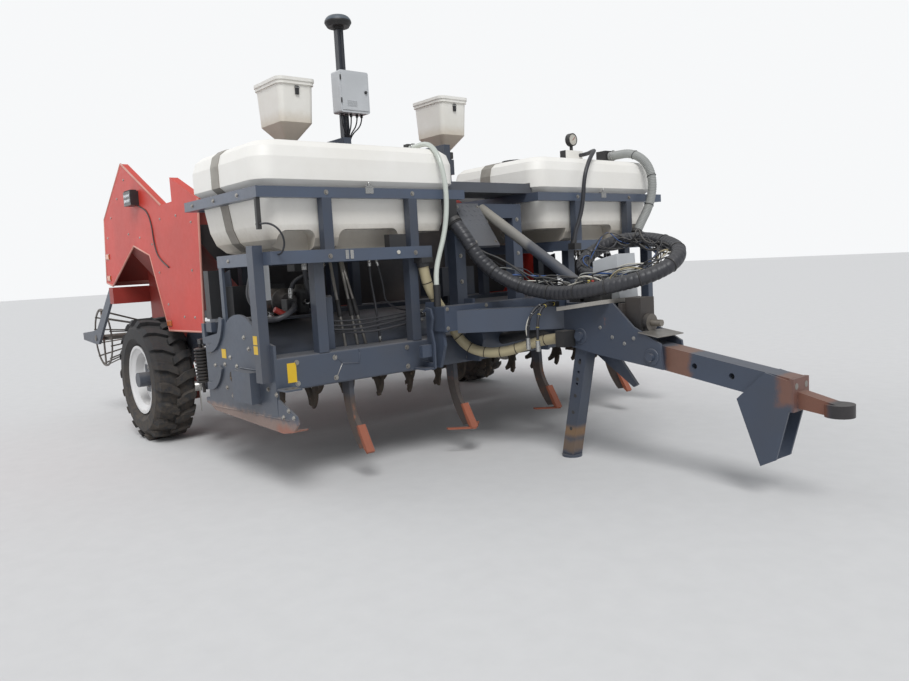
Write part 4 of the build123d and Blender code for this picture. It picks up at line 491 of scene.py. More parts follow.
@dataclass
class Piece:
    """A mesh under construction that will ride on one body, in stations and millimetres."""

    name: str
    body: str
    slot: str
    finishes: tuple[Finish, ...]
    mesh: bmesh.types.BMesh = field(default_factory=bmesh.new)

    def _mark(self, faces: list, finish: int, smooth: bool = False) -> None:
        """Give new faces their finish number and shading."""
        for face in faces:
            face.material_index = finish
            face.smooth = smooth

    def box(self, low: Point, high: Point, bevel: float = 2.0, finish: int = 0, lean: float = 0.0) -> None:
        """Add a box with softened edges between two corners.

        Args:
            low: lowest corner.
            high: highest corner.
            bevel: width of the edge's chamfer.
            finish: number of the finish.
            lean: turn in degrees about the box's middle, nose down.
        """
        low_v, high_v = Vector(at(*low)), Vector(at(*high))
        size = high_v - low_v
        turn = Matrix.Rotation(math.radians(lean), 4, "Y")
        spot = Matrix.Translation((low_v + high_v) / 2) @ turn @ Matrix.Diagonal((*size, 1))
        verts = bmesh.ops.create_cube(self.mesh, size=1.0)["verts"]
        bmesh.ops.transform(self.mesh, matrix=spot, verts=verts)
        edges = list({edge for vert in verts for edge in vert.link_edges})
        faces = {face for vert in verts for face in vert.link_faces}
        result = bmesh.ops.bevel(self.mesh, geom=edges, offset=min(bevel * MM, 0.3 * min(size)), segments=2,
                                 affect="EDGES", profile=0.6)
        self._mark(list(set(result["faces"]) | {face for face in faces if face.is_valid}), finish)

    def side_box(self, side: int, station: Span, across: Span, height: Span, bevel: float = 2.0,
                 finish: int = 0) -> None:
        """Add a box given by its spans on the left side, on either side.

        Args:
            side: -1 for the right side, 1 for the left.
            station: span of stations.
            across: span across, away from the middle.
            height: span of heights.
            bevel: width of the edge's chamfer.
            finish: number of the finish.
        """
        low, high = sorted((side * across[0], side * across[1]))
        self.box((station[0], low, height[0]), (station[1], high, height[1]), bevel, finish)

    def side_plate(self, side: int, outline: list[Span], across: Span, finish: int = 0,
                   bevel: float = 1.5) -> None:
        """Add a plate whose outline lies in the side view, on either side.

        Args:
            side: -1 for the right side, 1 for the left.
            outline: corners as station and height.
            across: span of its thickness, away from the middle.
            finish: number of the finish.
            bevel: chamfer of the edges.
        """
        low, high = sorted((side * across[0], side * across[1]))
        self.plate(outline, low, high, finish, bevel)

    def rod(self, start: Point, end: Point, radius: float, sides: int = 20, finish: int = 0,
            lip: float = 1.0) -> None:
        """Add a round bar between two points.

        Args:
            start: middle of the first end.
            end: middle of the other end.
            radius: its radius.
            sides: faces round it.
            finish: number of the finish.
            lip: chamfer on both end edges.
        """
        length = (Vector(end) - Vector(start)).length
        lip = min(lip, 0.3 * radius, 0.3 * length)
        self.lathe(start, end, [(0.0, radius - lip), (lip, radius), (length - lip, radius), (length, radius - lip)],
                   sides, finish)

    def lathe(self, start: Point, end: Point, rings: list[Span], sides: int = 28,
              finish: int = 0, smooth: bool = True) -> None:
        """Turn a closed body about a line from a profile.

        Args:
            start: the profile's zero on the line.
            end: any point further along the line.
            rings: pairs of distance along and radius.
            sides: faces round it.
            finish: number of the finish.
            smooth: whether the sides shade smoothly.
        """
        start_v = Vector(at(*start))
        way = (Vector(at(*end)) - start_v).normalized()
        side = way.orthogonal().normalized()
        other = way.cross(side)
        loops = []
        for along, radius in rings:
            middle = start_v + way * (along * MM)
            loops.append([
                self.mesh.verts.new(middle + (side * math.cos(turn) + other * math.sin(turn)) * (radius * MM))
                for turn in (2 * math.pi * step / sides for step in range(sides))
            ])
        skin(self.mesh, loops, finish, smooth)

    def plate(self, outline: list[Span], low: float, high: float, finish: int = 0,
              bevel: float = 1.5, flat: bool = False) -> None:
        """Extrude an outline across the machine, or upwards.

        Args:
            outline: corners as station and height, or as station and distance across when flat.
            low: first face's distance across, or its height.
            high: the other face's.
            finish: number of the finish.
            bevel: chamfer of the edges.
            flat: whether the plate lies flat.
        """
        def ring(depth: float) -> list:
            """Points of the outline at one depth."""
            return [self.mesh.verts.new(at(one, two, depth) if flat else at(one, depth, two)) for one, two in outline]

        bottom, top = ring(low), ring(high)
        faces = [self.mesh.faces.new(bottom), self.mesh.faces.new(list(reversed(top)))]
        for step in range(len(outline)):
            nxt = (step + 1) % len(outline)
            faces.append(self.mesh.faces.new((bottom[nxt], bottom[step], top[step], top[nxt])))
        bmesh.ops.recalc_face_normals(self.mesh, faces=faces)
        self._mark(faces, finish)
        edges = list({edge for face in faces for edge in face.edges})
        result = bmesh.ops.bevel(self.mesh, geom=edges, offset=bevel * MM, segments=1, affect="EDGES")
        self._mark(result["faces"], finish)

    def tube(self, points: list[Point], radius: float, sides: int = 10, finish: int = 0) -> None:
        """Add a round pipe that the machine holds along its whole way.

        Args:
            points: the way it takes, rounded here.
            radius: its radius.
            sides: faces round it.
            finish: number of the finish.
        """
        self.sweep([Vector(at(*point)) for point in nurbs_points(points)], radius, sides, finish)

    def sweep(self, line: list[Vector], radius: float, sides: int = 8, finish: int = 0) -> None:
        """Skin a round tube along points in metres.

        Args:
            line: points of the line.
            radius: radius in millimetres.
            sides: faces round it.
            finish: number of the finish.
        """
        skin(self.mesh, rings_along(self.mesh, line, lambda number, turn: radius * MM, sides), finish)

    def done(self) -> bpy.types.Object:
        """Turn the mesh into a piece that rides on its body.

        Returns:
            The finished object.
        """
        data = bpy.data.meshes.new(self.name)
        self.mesh.to_mesh(data)
        self.mesh.free()
        for finish in self.finishes:
            data.materials.append(finish.material())
        return ride_mesh(self.name, data, self.body)


def add_object(name: str, data: bpy.types.ID) -> bpy.types.Object:
    """Put a new object in the scene."""
    made = bpy.data.objects.new(name, data)
    bpy.context.scene.collection.objects.link(made)
    return made


def curve_object(name: str, points: list[Point]) -> bpy.types.Object:
    """Draw points as one smooth NURBS spline.

    Args:
        name: the new object's name.
        points: control points in metres.

    Returns:
        The curve's object.
    """
    data = bpy.data.curves.new(name, "CURVE")
    data.dimensions = "3D"
    data.resolution_u = 12
    line = data.splines.new("NURBS")
    line.points.add(len(points) - 1)
    for point, spot in zip(line.points, points):
        point.co = (*spot, 1.0)
    line.order_u = 3
    line.use_endpoint_u = True
    return add_object(name, data)


def plain_mesh(made: bpy.types.Object) -> bpy.types.Mesh:
    """Read an object's mesh as its modifiers leave it."""
    bpy.context.view_layer.update()
    return bpy.data.meshes.new_from_object(made.evaluated_get(bpy.context.evaluated_depsgraph_get()))


def curve_line(curve: bpy.types.Object) -> list[Vector]:
    """Read the points of a curve that has no bevel.

    Args:
        curve: the curve's object.

    Returns:
        The points along it, in the curve's own units.
    """
    flat = plain_mesh(curve)
    line = [vert.co.copy() for vert in flat.vertices]
    bpy.data.meshes.remove(flat)
    return line


def nurbs_points(points: list[Point]) -> list[Point]:
    """Round a coarse way into the points of a smooth spline.

    Args:
        points: coarse points.

    Returns:
        The finer points, in the same units.
    """
    if len(points) < 3:
        return points
    curve = curve_object("way", points)
    line = curve_line(curve)
    bpy.data.objects.remove(curve)
    return [tuple(spot) for spot in line]


SOCKETS = {float: "NodeSocketFloat", int: "NodeSocketInt", tuple: "NodeSocketVector",
           type(None): "NodeSocketMaterial"}


class GeometryTree:
    """A Geometry Nodes tree with named inputs, run once on a plain mesh."""

    def __init__(self, name: str, inputs: dict[str, object]) -> None:
        """Start the tree and name its inputs.

        Args:
            name: the tree's name.
            inputs: label to first value; the material's is added here.
        """
        self.tree = bpy.data.node_groups.new(name, "GeometryNodeTree")
        self.tree.interface.new_socket("Geometry", in_out="INPUT", socket_type="NodeSocketGeometry")
        self.keys: dict[str, str] = {}
        for label, value in {**inputs, "Material": None}.items():
            socket = self.tree.interface.new_socket(label, in_out="INPUT", socket_type=SOCKETS[type(value)])
            if value is not None:
                socket.default_value = value
            self.keys[label] = socket.identifier
        self.tree.interface.new_socket("Geometry", in_out="OUTPUT", socket_type="NodeSocketGeometry")
        self.entry = self.tree.nodes.new("NodeGroupInput")

    def node(self, kind: str, settings: dict | None = None, inputs: dict | None = None) -> bpy.types.Node:
        """Add a node, set its options, then its sockets.

        Args:
            kind: the node's type.
            settings: attributes that are set first.
            inputs: socket name or number to a value, a socket or several sockets.

        Returns:
            The node.
        """
        made = self.tree.nodes.new(kind)
        for name, value in (settings or {}).items():
            setattr(made, name, value)
        for key, value in (inputs or {}).items():
            if isinstance(value, bpy.types.NodeSocket):
                self.tree.links.new(value, made.inputs[key])
            elif isinstance(value, list):
                for one in value:
                    self.tree.links.new(one, made.inputs[key])
            else:
                made.inputs[key].default_value = value
        return made

    def given(self, label: str) -> bpy.types.NodeSocket:
        """Socket of one of the tree's own inputs."""
        return self.entry.outputs[label]

    def finish(self, shape: bpy.types.NodeSocket) -> None:
        """Realize the instances, set the material and end the tree."""
        real = self.node("GeometryNodeRealizeInstances", None, {0: shape})
        dressed = self.node("GeometryNodeSetMaterial", None, {"Geometry": real.outputs[0],
                                                             "Material": self.given("Material")})
        out = self.tree.nodes.new("NodeGroupOutput")
        self.tree.links.new(dressed.outputs[0], out.inputs[0])

    def run(self, name: str, base: bpy.types.Mesh, body: str, slot: str, finish: Finish,
            **values: object) -> bpy.types.Object:
        """Run the tree on a mesh and put the plain result on a body.

        Args:
            name: the piece's name.
            base: the mesh that the tree starts from.
            body: the body that it rides on.
            slot: the record's material slot; not used.
            finish: its finish.
            **values: values of the tree's inputs by label.

        Returns:
            The piece.
        """
        holder = add_object(name + "_base", base)
        change = holder.modifiers.new(self.tree.name, "NODES")
        change.node_group = self.tree
        for label, value in {**values, "Material": finish.material()}.items():
            change[self.keys[label]] = value
        result = plain_mesh(holder)
        holder.modifiers.remove(change)
        bpy.data.objects.remove(holder)
        return ride_mesh(name, result, body)


def marked_points(points: list[Point], axes: list[Point], sizes: list[float]) -> bpy.types.Mesh:
    """Make a mesh of loose points that carry an axis and a size.

    Args:
        points: places in metres.
        axes: direction that each points in.
        sizes: size of each.

    Returns:
        The mesh.
    """
    base = bpy.data.meshes.new("points")
    base.from_pydata([tuple(point) for point in points], [], [])
    base.attributes.new("axis", "FLOAT_VECTOR", "POINT")
    base.attributes.new("size", "FLOAT", "POINT")
    base.attributes["axis"].data.foreach_set("vector", [part for way in axes for part in way])
    base.attributes["size"].data.foreach_set("value", sizes)
    return base


def ride_mesh(name: str, mesh: bpy.types.Mesh, body: str) -> bpy.types.Object:
    """Put a finished mesh on a body.

    Args:
        name: the piece's name.
        mesh: its mesh.
        body: the body that it rides on.

    Returns:
        The piece.
    """
    mesh.name = name
    made = add_object(name, mesh)
    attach(made, body)
    LOG.info("%s: %d faces on %s", name, len(mesh.polygons), body)
    return made


class Fasteners:
    """Bolts with washers, set in rows on any body."""

    tree: GeometryTree | None = None

    def __init__(self, name: str, body: str, finish: Finish = BOLT, slot: str = "bare_steel") -> None:
        """Start an empty set on one body."""
        self.name, self.body, self.finish, self.slot = name, body, finish, slot
        self.spots: list[Point] = []
        self.axes: list[Point] = []
        self.sizes: list[float] = []

    @classmethod
    def shared_tree(cls) -> GeometryTree:
        """Build the bolt's tree once.

        Returns:
            The tree, whose inputs are the head's and the washer's sizes.
        """
        if cls.tree:
            return cls.tree
        tree = GeometryTree("bolts", {"Head Radius": 1.0, "Head Height": 0.7, "Washer Radius": 1.35,
                                      "Washer Height": 0.18})
        washer = tree.node("GeometryNodeMeshCylinder", None, {
            "Vertices": 16, "Radius": tree.given("Washer Radius"), "Depth": tree.given("Washer Height")})
        head = tree.node("GeometryNodeMeshCone", None, {
            "Vertices": 6, "Radius Top": 0.88, "Radius Bottom": tree.given("Head Radius"),
            "Depth": tree.given("Head Height")})
        raised = tree.node("GeometryNodeTransform", None, {
            "Geometry": head.outputs["Mesh"], "Translation": (0.0, 0.0, 0.08)})
        shape = tree.node("GeometryNodeJoinGeometry", None, {0: [washer.outputs["Mesh"], raised.outputs[0]]})
        axis = tree.node("GeometryNodeInputNamedAttribute", {"data_type": "FLOAT_VECTOR"}, {"Name": "axis"})
        turn = tree.node("FunctionNodeAlignRotationToVector", {"axis": "Z"}, {"Vector": axis.outputs[0]})
        size = tree.node("GeometryNodeInputNamedAttribute", {"data_type": "FLOAT"}, {"Name": "size"})
        placed = tree.node("GeometryNodeInstanceOnPoints", None, {
            "Points": tree.given("Geometry"), "Instance": shape.outputs[0], "Rotation": turn.outputs[0],
            "Scale": size.outputs[0]})
        tree.finish(placed.outputs[0])
        cls.tree = tree
        return tree

    def add(self, spot: Point, axis: Point, size: float = 11.0) -> None:
        """Add one bolt.

        Args:
            spot: where its washer lies, as station, across and height.
            axis: outward direction.
            size: radius of the head in millimetres.
        """
        self.spots.append(at(*spot))
        self.axes.append(axis)
        self.sizes.append(size * MM)

    def drive(self, node: str, start: Point, way: Point, size: float = 11.0) -> None:
        """Add a bolt where a line first meets a node, if it meets it.

        Args:
            node: the node's name.
            start: where the line starts, as station, across and height.
            way: its direction.
            size: radius of the head.
        """
        spot = surface(node, start, way)
        if spot != start:
            self.add(spot, tuple(0.0 - part for part in way), size)

    def ring(self, middle: Point, axis: Point, reach: float, count: int, size: float = 11.0,
             first: float = 0.0) -> None:
        """Add bolts evenly round a circle.

        Args:
            middle: the circle's middle.
            axis: outward direction, along one of the three axes.
            reach: the circle's radius.
            count: number of bolts.
            size: radius of a head.
            first: angle of the first in degrees.
        """
        way = Vector(axis)
        side = way.orthogonal().normalized()
        other = way.cross(side)
        for step in range(count):
            turn = math.radians(first + 360.0 * step / count)
            self.add(tuple(Vector(middle) + (side * math.cos(turn) + other * math.sin(turn)) * reach), axis, size)

    def build(self) -> bpy.types.Object:
        """Run the tree on all the places.

        Returns:
            One piece with every bolt of this body.
        """
        base = marked_points(self.spots, self.axes, self.sizes)
        return self.shared_tree().run(self.name, base, self.body, self.slot, self.finish)


def clods(node: str, body: str, density: float, size: float, finish: Finish, seed: int) -> bpy.types.Object:
    """Scatter crumbs of soil over a copy of a node's mesh.

    Args:
        node: the node's name.
        body: the body that the crumbs ride on.
        density: crumbs in a square metre.
        size: the largest crumb's radius in millimetres.
        finish: their finish.
        seed: fixed seed of their places.

    Returns:
        The piece.
    """
    tree = GeometryTree("crumbs_" + node, {"Density": 100.0, "Size": 0.01, "Seed": 0})
    points = tree.node("GeometryNodeDistributePointsOnFaces", {"distribute_method": "RANDOM"}, {
        "Mesh": tree.given("Geometry"), "Density": tree.given("Density"), "Seed": tree.given("Seed")})
    crumb = tree.node("GeometryNodeMeshIcoSphere", None, {"Radius": tree.given("Size"), "Subdivisions": 1})
    lump = tree.node("GeometryNodeTransform", None, {
        "Geometry": crumb.outputs["Mesh"], "Scale": (1.0, 1.25, 0.55)})
    grown = tree.node("FunctionNodeRandomValue", {"data_type": "FLOAT"}, {"Seed": tree.given("Seed")})
    grown.inputs[2].default_value, grown.inputs[3].default_value = 0.35, 1.0
    placed = tree.node("GeometryNodeInstanceOnPoints", None, {
        "Points": points.outputs["Points"], "Instance": lump.outputs[0], "Rotation": points.outputs["Rotation"],
        "Scale": grown.outputs[1]})
    tree.finish(placed.outputs[0])
    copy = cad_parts[node].data.copy()
    return tree.run(node + "_soil", copy, body, "rusty_steel", finish, Density=density, Size=size * MM, Seed=seed)


def quilting(name: str, middle: Point, size: Span, lean: float, pitch: float) -> bpy.types.Object:
    """Lay the raised lozenges of a tread plate on a flat grid that may slope.

    Args:
        name: the piece's name.
        middle: the plate's middle.
        size: its length and width.
        lean: its slope in degrees.
        pitch: distance between lozenges.

    Returns:
        The piece.
    """
    tree = GeometryTree(name + "_tree", {"Length": 1.0, "Width": 1.0, "Rows": 4, "Columns": 4, "Bar": 0.01,
                                         "Place": (0.0, 0.0, 0.0), "Turn": (0.0, 0.0, 0.0)})
    grid = tree.node("GeometryNodeMeshGrid", None, {
        "Size X": tree.given("Length"), "Size Y": tree.given("Width"),
        "Vertices X": tree.given("Rows"), "Vertices Y": tree.given("Columns")})
    bar = tree.node("GeometryNodeMeshCone", None, {
        "Vertices": 4, "Radius Top": 0.4, "Radius Bottom": 1.0, "Depth": 0.35})
    number = tree.node("GeometryNodeInputIndex")
    half = tree.node("ShaderNodeMath", {"operation": "MODULO"}, {0: number.outputs[0], 1: 2.0})
    swing = tree.node("ShaderNodeMath", {"operation": "MULTIPLY_ADD"},
                      {0: half.outputs[0], 1: math.pi / 2, 2: math.pi / 4})
    turned = tree.node("ShaderNodeCombineXYZ", None, {2: swing.outputs[0]})
    narrow = tree.node("GeometryNodeTransform", None, {
        "Geometry": bar.outputs["Mesh"], "Rotation": (0.0, 0.0, 0.0), "Scale": (1.0, 0.34, 0.30)})
    placed = tree.node("GeometryNodeInstanceOnPoints", None, {
        "Points": grid.outputs["Mesh"], "Instance": narrow.outputs[0], "Rotation": turned.outputs[0],
        "Scale": tree.given("Bar")})
    moved = tree.node("GeometryNodeTransform", None, {
        "Geometry": placed.outputs[0], "Translation": tree.given("Place"), "Rotation": tree.given("Turn")})
    tree.finish(moved.outputs[0])
    length, width = size
    base = bpy.data.meshes.new("nothing")
    return tree.run(name, base, "chassis", "steel_tread", TREAD,
                    Length=(length - pitch) * MM, Width=(width - pitch) * MM, Rows=int(length / pitch),
                    Columns=int(width / pitch), Bar=0.42 * pitch * MM, Place=at(*middle),
                    Turn=(0.0, math.radians(lean), 0.0))


def hose_ties(name: str, hose: bpy.types.Object, radius: float, spacing: float, thick: float,
              finish: Finish, slot: str) -> bpy.types.Object:
    """Set a tie at every spacing along a hose.

    Args:
        name: the piece's name.
        hose: a bare curve that the ties follow, removed here.
        radius: radius of the tie's middle in millimetres.
        spacing: distance between ties.
        thick: radius of the tie itself.
        finish: its finish.
        slot: its material slot.

    Returns:
        The piece.
    """
    tree = GeometryTree(name + "_tree", {"Spacing": 0.1, "Reach": 0.03, "Thickness": 0.002})
    wire = tree.node("GeometryNodeMeshToCurve", None, {"Mesh": tree.given("Geometry")})
    steps = tree.node("GeometryNodeResampleCurve", {"mode": "LENGTH"}, {
        "Curve": wire.outputs[0], "Length": tree.given("Spacing")})
    ring = tree.node("GeometryNodeCurvePrimitiveCircle", None, {
        "Resolution": 18, "Radius": tree.given("Reach")})
    profile = tree.node("GeometryNodeCurvePrimitiveCircle", None, {
        "Resolution": 5, "Radius": tree.given("Thickness")})
    tie = tree.node("GeometryNodeCurveToMesh", None, {
        "Curve": ring.outputs[0], "Profile Curve": profile.outputs[0]})
    along = tree.node("GeometryNodeInputTangent")
    turn = tree.node("FunctionNodeAlignRotationToVector", {"axis": "Z"}, {"Vector": along.outputs[0]})
    placed = tree.node("GeometryNodeInstanceOnPoints", None, {
        "Points": steps.outputs[0], "Instance": tie.outputs[0], "Rotation": turn.outputs[0]})
    tree.finish(placed.outputs[0])
    line = curve_line(hose)
    bpy.data.objects.remove(hose)
    base = bpy.data.meshes.new("line")
    base.from_pydata([tuple(spot) for spot in line], [(one, one + 1) for one in range(len(line) - 1)], [])
    return tree.run(name, base, "chassis", slot, finish, Spacing=spacing * MM, Reach=radius * MM,
                    Thickness=thick * MM)


def surface(node: str, start: Point, way: Point) -> Point:
    """Find where a line first meets a CAD node.

    Args:
        node: the node's name.
        start: where the line starts, as station, across and height.
        way: its direction.

    Returns:
        The place that it meets, as station, across and height, or its start where it meets nothing.
    """
    hit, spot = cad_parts[node].ray_cast(Vector(at(*start)), Vector(way).normalized())[:2]
    if not hit:
        LOG.warning("nothing of %s ahead of %s", node, start)
        return start
    return (spot.x - RAIL) / MM, spot.y / MM, spot.z / MM


def ribbon(points: list[Span], width: float) -> list[Span]:
    """Outline of a flat bar that follows a bent line.

    Args:
        points: the line's points.
        width: the bar's width.

    Returns:
        The outline's corners.
    """
    line = [Vector((*point, 0.0)) for point in points]
    left, right = [], []
    for step, spot in enumerate(line):
        way = (line[min(step + 1, len(line) - 1)] - line[max(step - 1, 0)]).normalized()
        side = Vector((-way.y, way.x, 0.0)) * (width / 2)
        left.append(((spot + side).x, (spot + side).y))
        right.append(((spot - side).x, (spot - side).y))
    return left + right[::-1]


def arc(middle: tuple[float, float], reach: float, first: float, last: float, steps: int = 10) -> list:
    """Points of an arc in a plane, its angles in degrees."""
    turns = [math.radians(first + (last - first) * step / steps) for step in range(steps + 1)]
    return [(middle[0] + reach * math.cos(turn), middle[1] + reach * math.sin(turn)) for turn in turns]


class Wall(Enum):
    """How a hose's outer wall is made."""

    PLAIN = 0
    SPIRAL = 1
    RIBBED = 2


STRAND_REACH = 0.14            # how far a tied wire may stray from its hose, in metres
STRAND_STEP = 0.012            # spacing of a wire's points, in metres
STRAND_SIDES = 7
WALL_SIDES = 22


@dataclass(frozen=True)
class Strand:
    """A thin wire tied to a hose at both its ends that wanders off between them."""

    start: float
    end: float
    pull: float
    target: Point
    radius: float
    finish: Finish
    wave: float = 18.0
    waves: float = 2.5


@dataclass
class Hose:
    """A free hose between two fittings, with what is tied to it."""

    node: str
    diameter: float
    length: float
    finish: Finish
    slot: str
    wall: Wall
    route: list[Point]
    stiffness: str = "stiff"
    far_end: str = "object"
    pitch: float = 0.020
    on_it: tuple[str, ...] = ()
    strands: tuple[Strand, ...] = ()
    ties: tuple[float, float] | None = None
    tie_finish: Finish = DARK

    def wall_radius(self, along: float, turn: float) -> float:
        """Radius of the wall at a place on it."""
        radius = self.diameter / 2
        if self.wall is Wall.SPIRAL:
            phase = (along / self.pitch + turn / (2 * math.pi)) % 1.0
            return radius * (0.90 + 0.10 * min(1.0, 6 * min(phase, 1 - phase)))
        return radius * (0.90 + 0.10 * math.sin(math.pi * (along / self.pitch)) ** 2)

    def tube_along(self, line: list[Vector]) -> bpy.types.Object:
        """Sweep the ribbed or wrapped wall along the curve's own points.

        Args:
            line: points of the smooth curve.

        Returns:
            The tube's object.
        """
        spots, travelled = even_steps(line, self.pitch / 6)
        mesh = bmesh.new()
        skin(mesh, rings_along(mesh, spots, lambda number, turn: self.wall_radius(travelled[number], turn),
                               WALL_SIDES))
        data = bpy.data.meshes.new(self.node + "_hose")
        mesh.to_mesh(data)
        mesh.free()
        return add_object(self.node + "_wall", data)

    def strand(self, number: int, wire: Strand, spots: list[Vector]) -> list[Vector]:
        """Work out one wire's line beside the hose's own points.

        Args:
            number: its number, which shifts its waves.
            wire: what it is.
            spots: places at an even spacing along the hose's curve.

        Returns:
            The points of the wire.
        """
        part = spots[int(wire.start * (len(spots) - 1)):int(wire.end * (len(spots) - 1)) + 1]
        target = Vector(at(*wire.target))
        phase = number * 1.7
        points = []
        for step, spot in enumerate(part):
            share = step / (len(part) - 1)
            swell = math.sin(math.pi * share)
            drift = Vector((math.sin(phase + 3.1 * wire.waves * share),
                            math.sin(2 * phase + 4.3 * wire.waves * share),
                            math.cos(phase + 3.7 * wire.waves * share)))
            inward = (target - spot) * (wire.pull * swell ** 0.8)
            outward = (target - spot).normalized() * (self.diameter / 2 + wire.radius * MM) * (1 - swell) * 0.9
            away = inward + outward + drift * (wire.wave * MM * swell)
            points.append(spot + away * (STRAND_REACH * (1 - math.exp(-away.length / STRAND_REACH)) / away.length))
        return points

    def wires(self, line: list[Vector]) -> list[bpy.types.Object]:
        """Run all the wires, those of one finish as one piece.

        Args:
            line: points of the hose's curve.

        Returns:
            The wires' objects.
        """
        spots = even_steps(line, STRAND_STEP)[0]
        pieces: dict[str, Piece] = {}
        for number, wire in enumerate(self.strands):
            name = f"{self.node}_{wire.finish.name}"
            piece = pieces.setdefault(name, Piece(name, "chassis", "hose_rubber", (wire.finish,)))
            piece.sweep(self.strand(number, wire, spots), wire.radius, STRAND_SIDES)
        return [piece.done() for piece in pieces.values()]

    def build(self) -> bpy.types.Object:
        """Returns:
            The hose's object.
        """
        curve = curve_object(self.node + "_hose", [at(*spot) for spot in self.route])
        line = curve_line(curve)
        made = curve
        if self.wall is Wall.PLAIN:
            curve.data.bevel_depth = self.diameter / 2
            curve.data.bevel_resolution = 5
            curve.data.use_fill_caps = True
        else:
            made = self.tube_along(line)
            bpy.data.objects.remove(curve)
        made.data.materials.append(self.finish.material())
        carried = [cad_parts[name] for name in self.on_it]
        carried += self.wires(line)
        if self.ties:
            spacing, thick = self.ties
            bare = curve_object(self.node + "_tie_line", [at(*spot) for spot in self.route])
            carried.append(hose_ties(self.node + "_ties", bare, self.diameter * 500 + 0.3 * thick, spacing, thick,
                                     self.tie_finish, "guard_plastic"))
        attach(made, "chassis")
        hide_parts(self.node)
        at(*self.route[0])
        LOG.info("%s carries %d pieces", self.node, len(carried))
        return made


def even_steps(line: list[Vector], step: float) -> tuple[list[Vector], list[float]]:
    """Read places at an even spacing along a curve's points.

    Args:
        line: the curve's own points.
        step: the spacing in metres.

    Returns:
        The places and how far along each one is.
    """
    spots, travelled, done = [line[0]], [0.0], 0.0
    for first, second in zip(line, line[1:]):
        run = (second - first).length
        while travelled[-1] + step <= done + run:
            spots.append(first.lerp(second, (travelled[-1] + step - done) / run))
            travelled.append(travelled[-1] + step)
        done += run
    if done - travelled[-1] > step * 0.2:
        spots.append(line[-1])
        travelled.append(done)
    else:
        spots[-1] = line[-1]
        travelled[-1] = done
    return spots, travelled


LOOM_ROUTE = [
    (40, -430, 1384), (90, -422, 1330), (132, -405, 1256), (172, -374, 1172), (235, -322, 1092), (312, -262, 1030),
    (400, -212, 990), (503, -182, 966), (622, -168, 960), (741, -158, 968), (858, -125, 985), (972, -64, 1008),
    (1068, 12, 1038), (1128, 95, 1080), (1132, 182, 1126), (1080, 262, 1168), (990, 326, 1200), (880, 368, 1224),
    (762, 390, 1240), (645, 388, 1242), (540, 358, 1226), (468, 296, 1188), (452, 214, 1136), (492, 148, 1090),
    (556, 108, 1056), (628, 96, 1045), (700, 96, 1045),
]
SUCTION_ROUTE = [
    (-30, -630, 1150), (-30, -620, 1080), (-27, -592, 1008), (-23, -550, 938), (-20, -502, 868), (-18, -458, 796),
    (-8, -420, 724), (26, -384, 662), (92, -344, 626), (176, -298, 616), (264, -246, 630), (355, -193, 662),
    (450, -155, 692), (560, -140, 705),
]
CLEAR_ROUTE = [
    (-290, -480, 1866), (-225, -480, 1866), (-158, -484, 1870), (-96, -488, 1858), (-44, -492, 1824),
    (-4, -494, 1772), (20, -493, 1710), (32, -489, 1642), (36, -485, 1572), (36, -486, 1500), (36, -494, 1428),
    (36, -508, 1356), (38, -532, 1286), (41, -562, 1218), (44, -588, 1152), (45, -600, 1086), (45, -600, 1040),
]
FILL_ROUTE = [
    (-290, 1420, 1900), (-208, 1420, 1900), (-126, 1427, 1902), (-50, 1438, 1876), (12, 1450, 1824),
    (50, 1458, 1752), (66, 1457, 1670), (68, 1444, 1590), (66, 1416, 1514), (63, 1374, 1446), (58, 1324, 1386),
    (53, 1280, 1320),
]
VENT_ROUTE = [
    (-275, 1060, 1890), (-212, 1060, 1890), (-150, 1040, 1898), (-96, 1004, 1896), (-54, 952, 1884),
    (-18, 894, 1862), (12, 836, 1830), (32, 784, 1784), (40, 745, 1726), (41, 724, 1658), (42, 713, 1588),
    (42, 702, 1518), (40, 684, 1450), (36, 658, 1384), (30, 630, 1322), (28, 615, 1266),
]
COUPLER_REAR_ROUTE = [
    (490, -150, 900), (490, -192, 900), (486, -232, 892), (480, -264, 868), (474, -285, 834), (469, -295, 795),
    (466, -299, 755), (466, -299, 716),
]
COUPLER_FRONT_ROUTE = [
    (530, -150, 900), (530, -192, 900), (532, -232, 892), (535, -264, 868), (538, -285, 834), (540, -295, 795),
    (541, -299, 755), (541, -299, 708),
]
SENSOR_ROUTE = [
    (-10, -1638, 1402), (16, -1638, 1402), (42, -1632, 1402), (66, -1620, 1397), (84, -1604, 1384),
    (93, -1588, 1364), (94, -1574, 1340), (87, -1564, 1315), (74, -1558, 1292), (57, -1556, 1273),
    (39, -1556, 1258), (20, -1556, 1250), (0, -1556, 1250),
]


def tangle(count: int, seed: int) -> tuple[Strand, ...]:
    """Draw the loose wires that are tied along the main loom.

    Args:
        count: number of wires.
        seed: fixed seed, so that each run gives the same tangle.

    Returns:
        The wires.
    """
    draw = random.Random(seed)
    finishes = (HOSE, DARK, HOSE, DARK, WIRE_WHITE, HOSE, GREY_HOSE, DARK, WIRE_BLUE, HOSE, CREAM, DARK)
    wires = []
    for number in range(count):
        start = draw.uniform(0.05, 0.72)
        wires.append(Strand(
            start, min(0.99, start + draw.uniform(0.12, 0.34)), draw.uniform(0.25, 0.95),
            (draw.uniform(380, 820), draw.uniform(20, 260), draw.uniform(1120, 1290)), draw.uniform(2.4, 5.6),
            finishes[number % len(finishes)], draw.uniform(30, 95), draw.uniform(1.6, 4.2)))
    return tuple(wires)


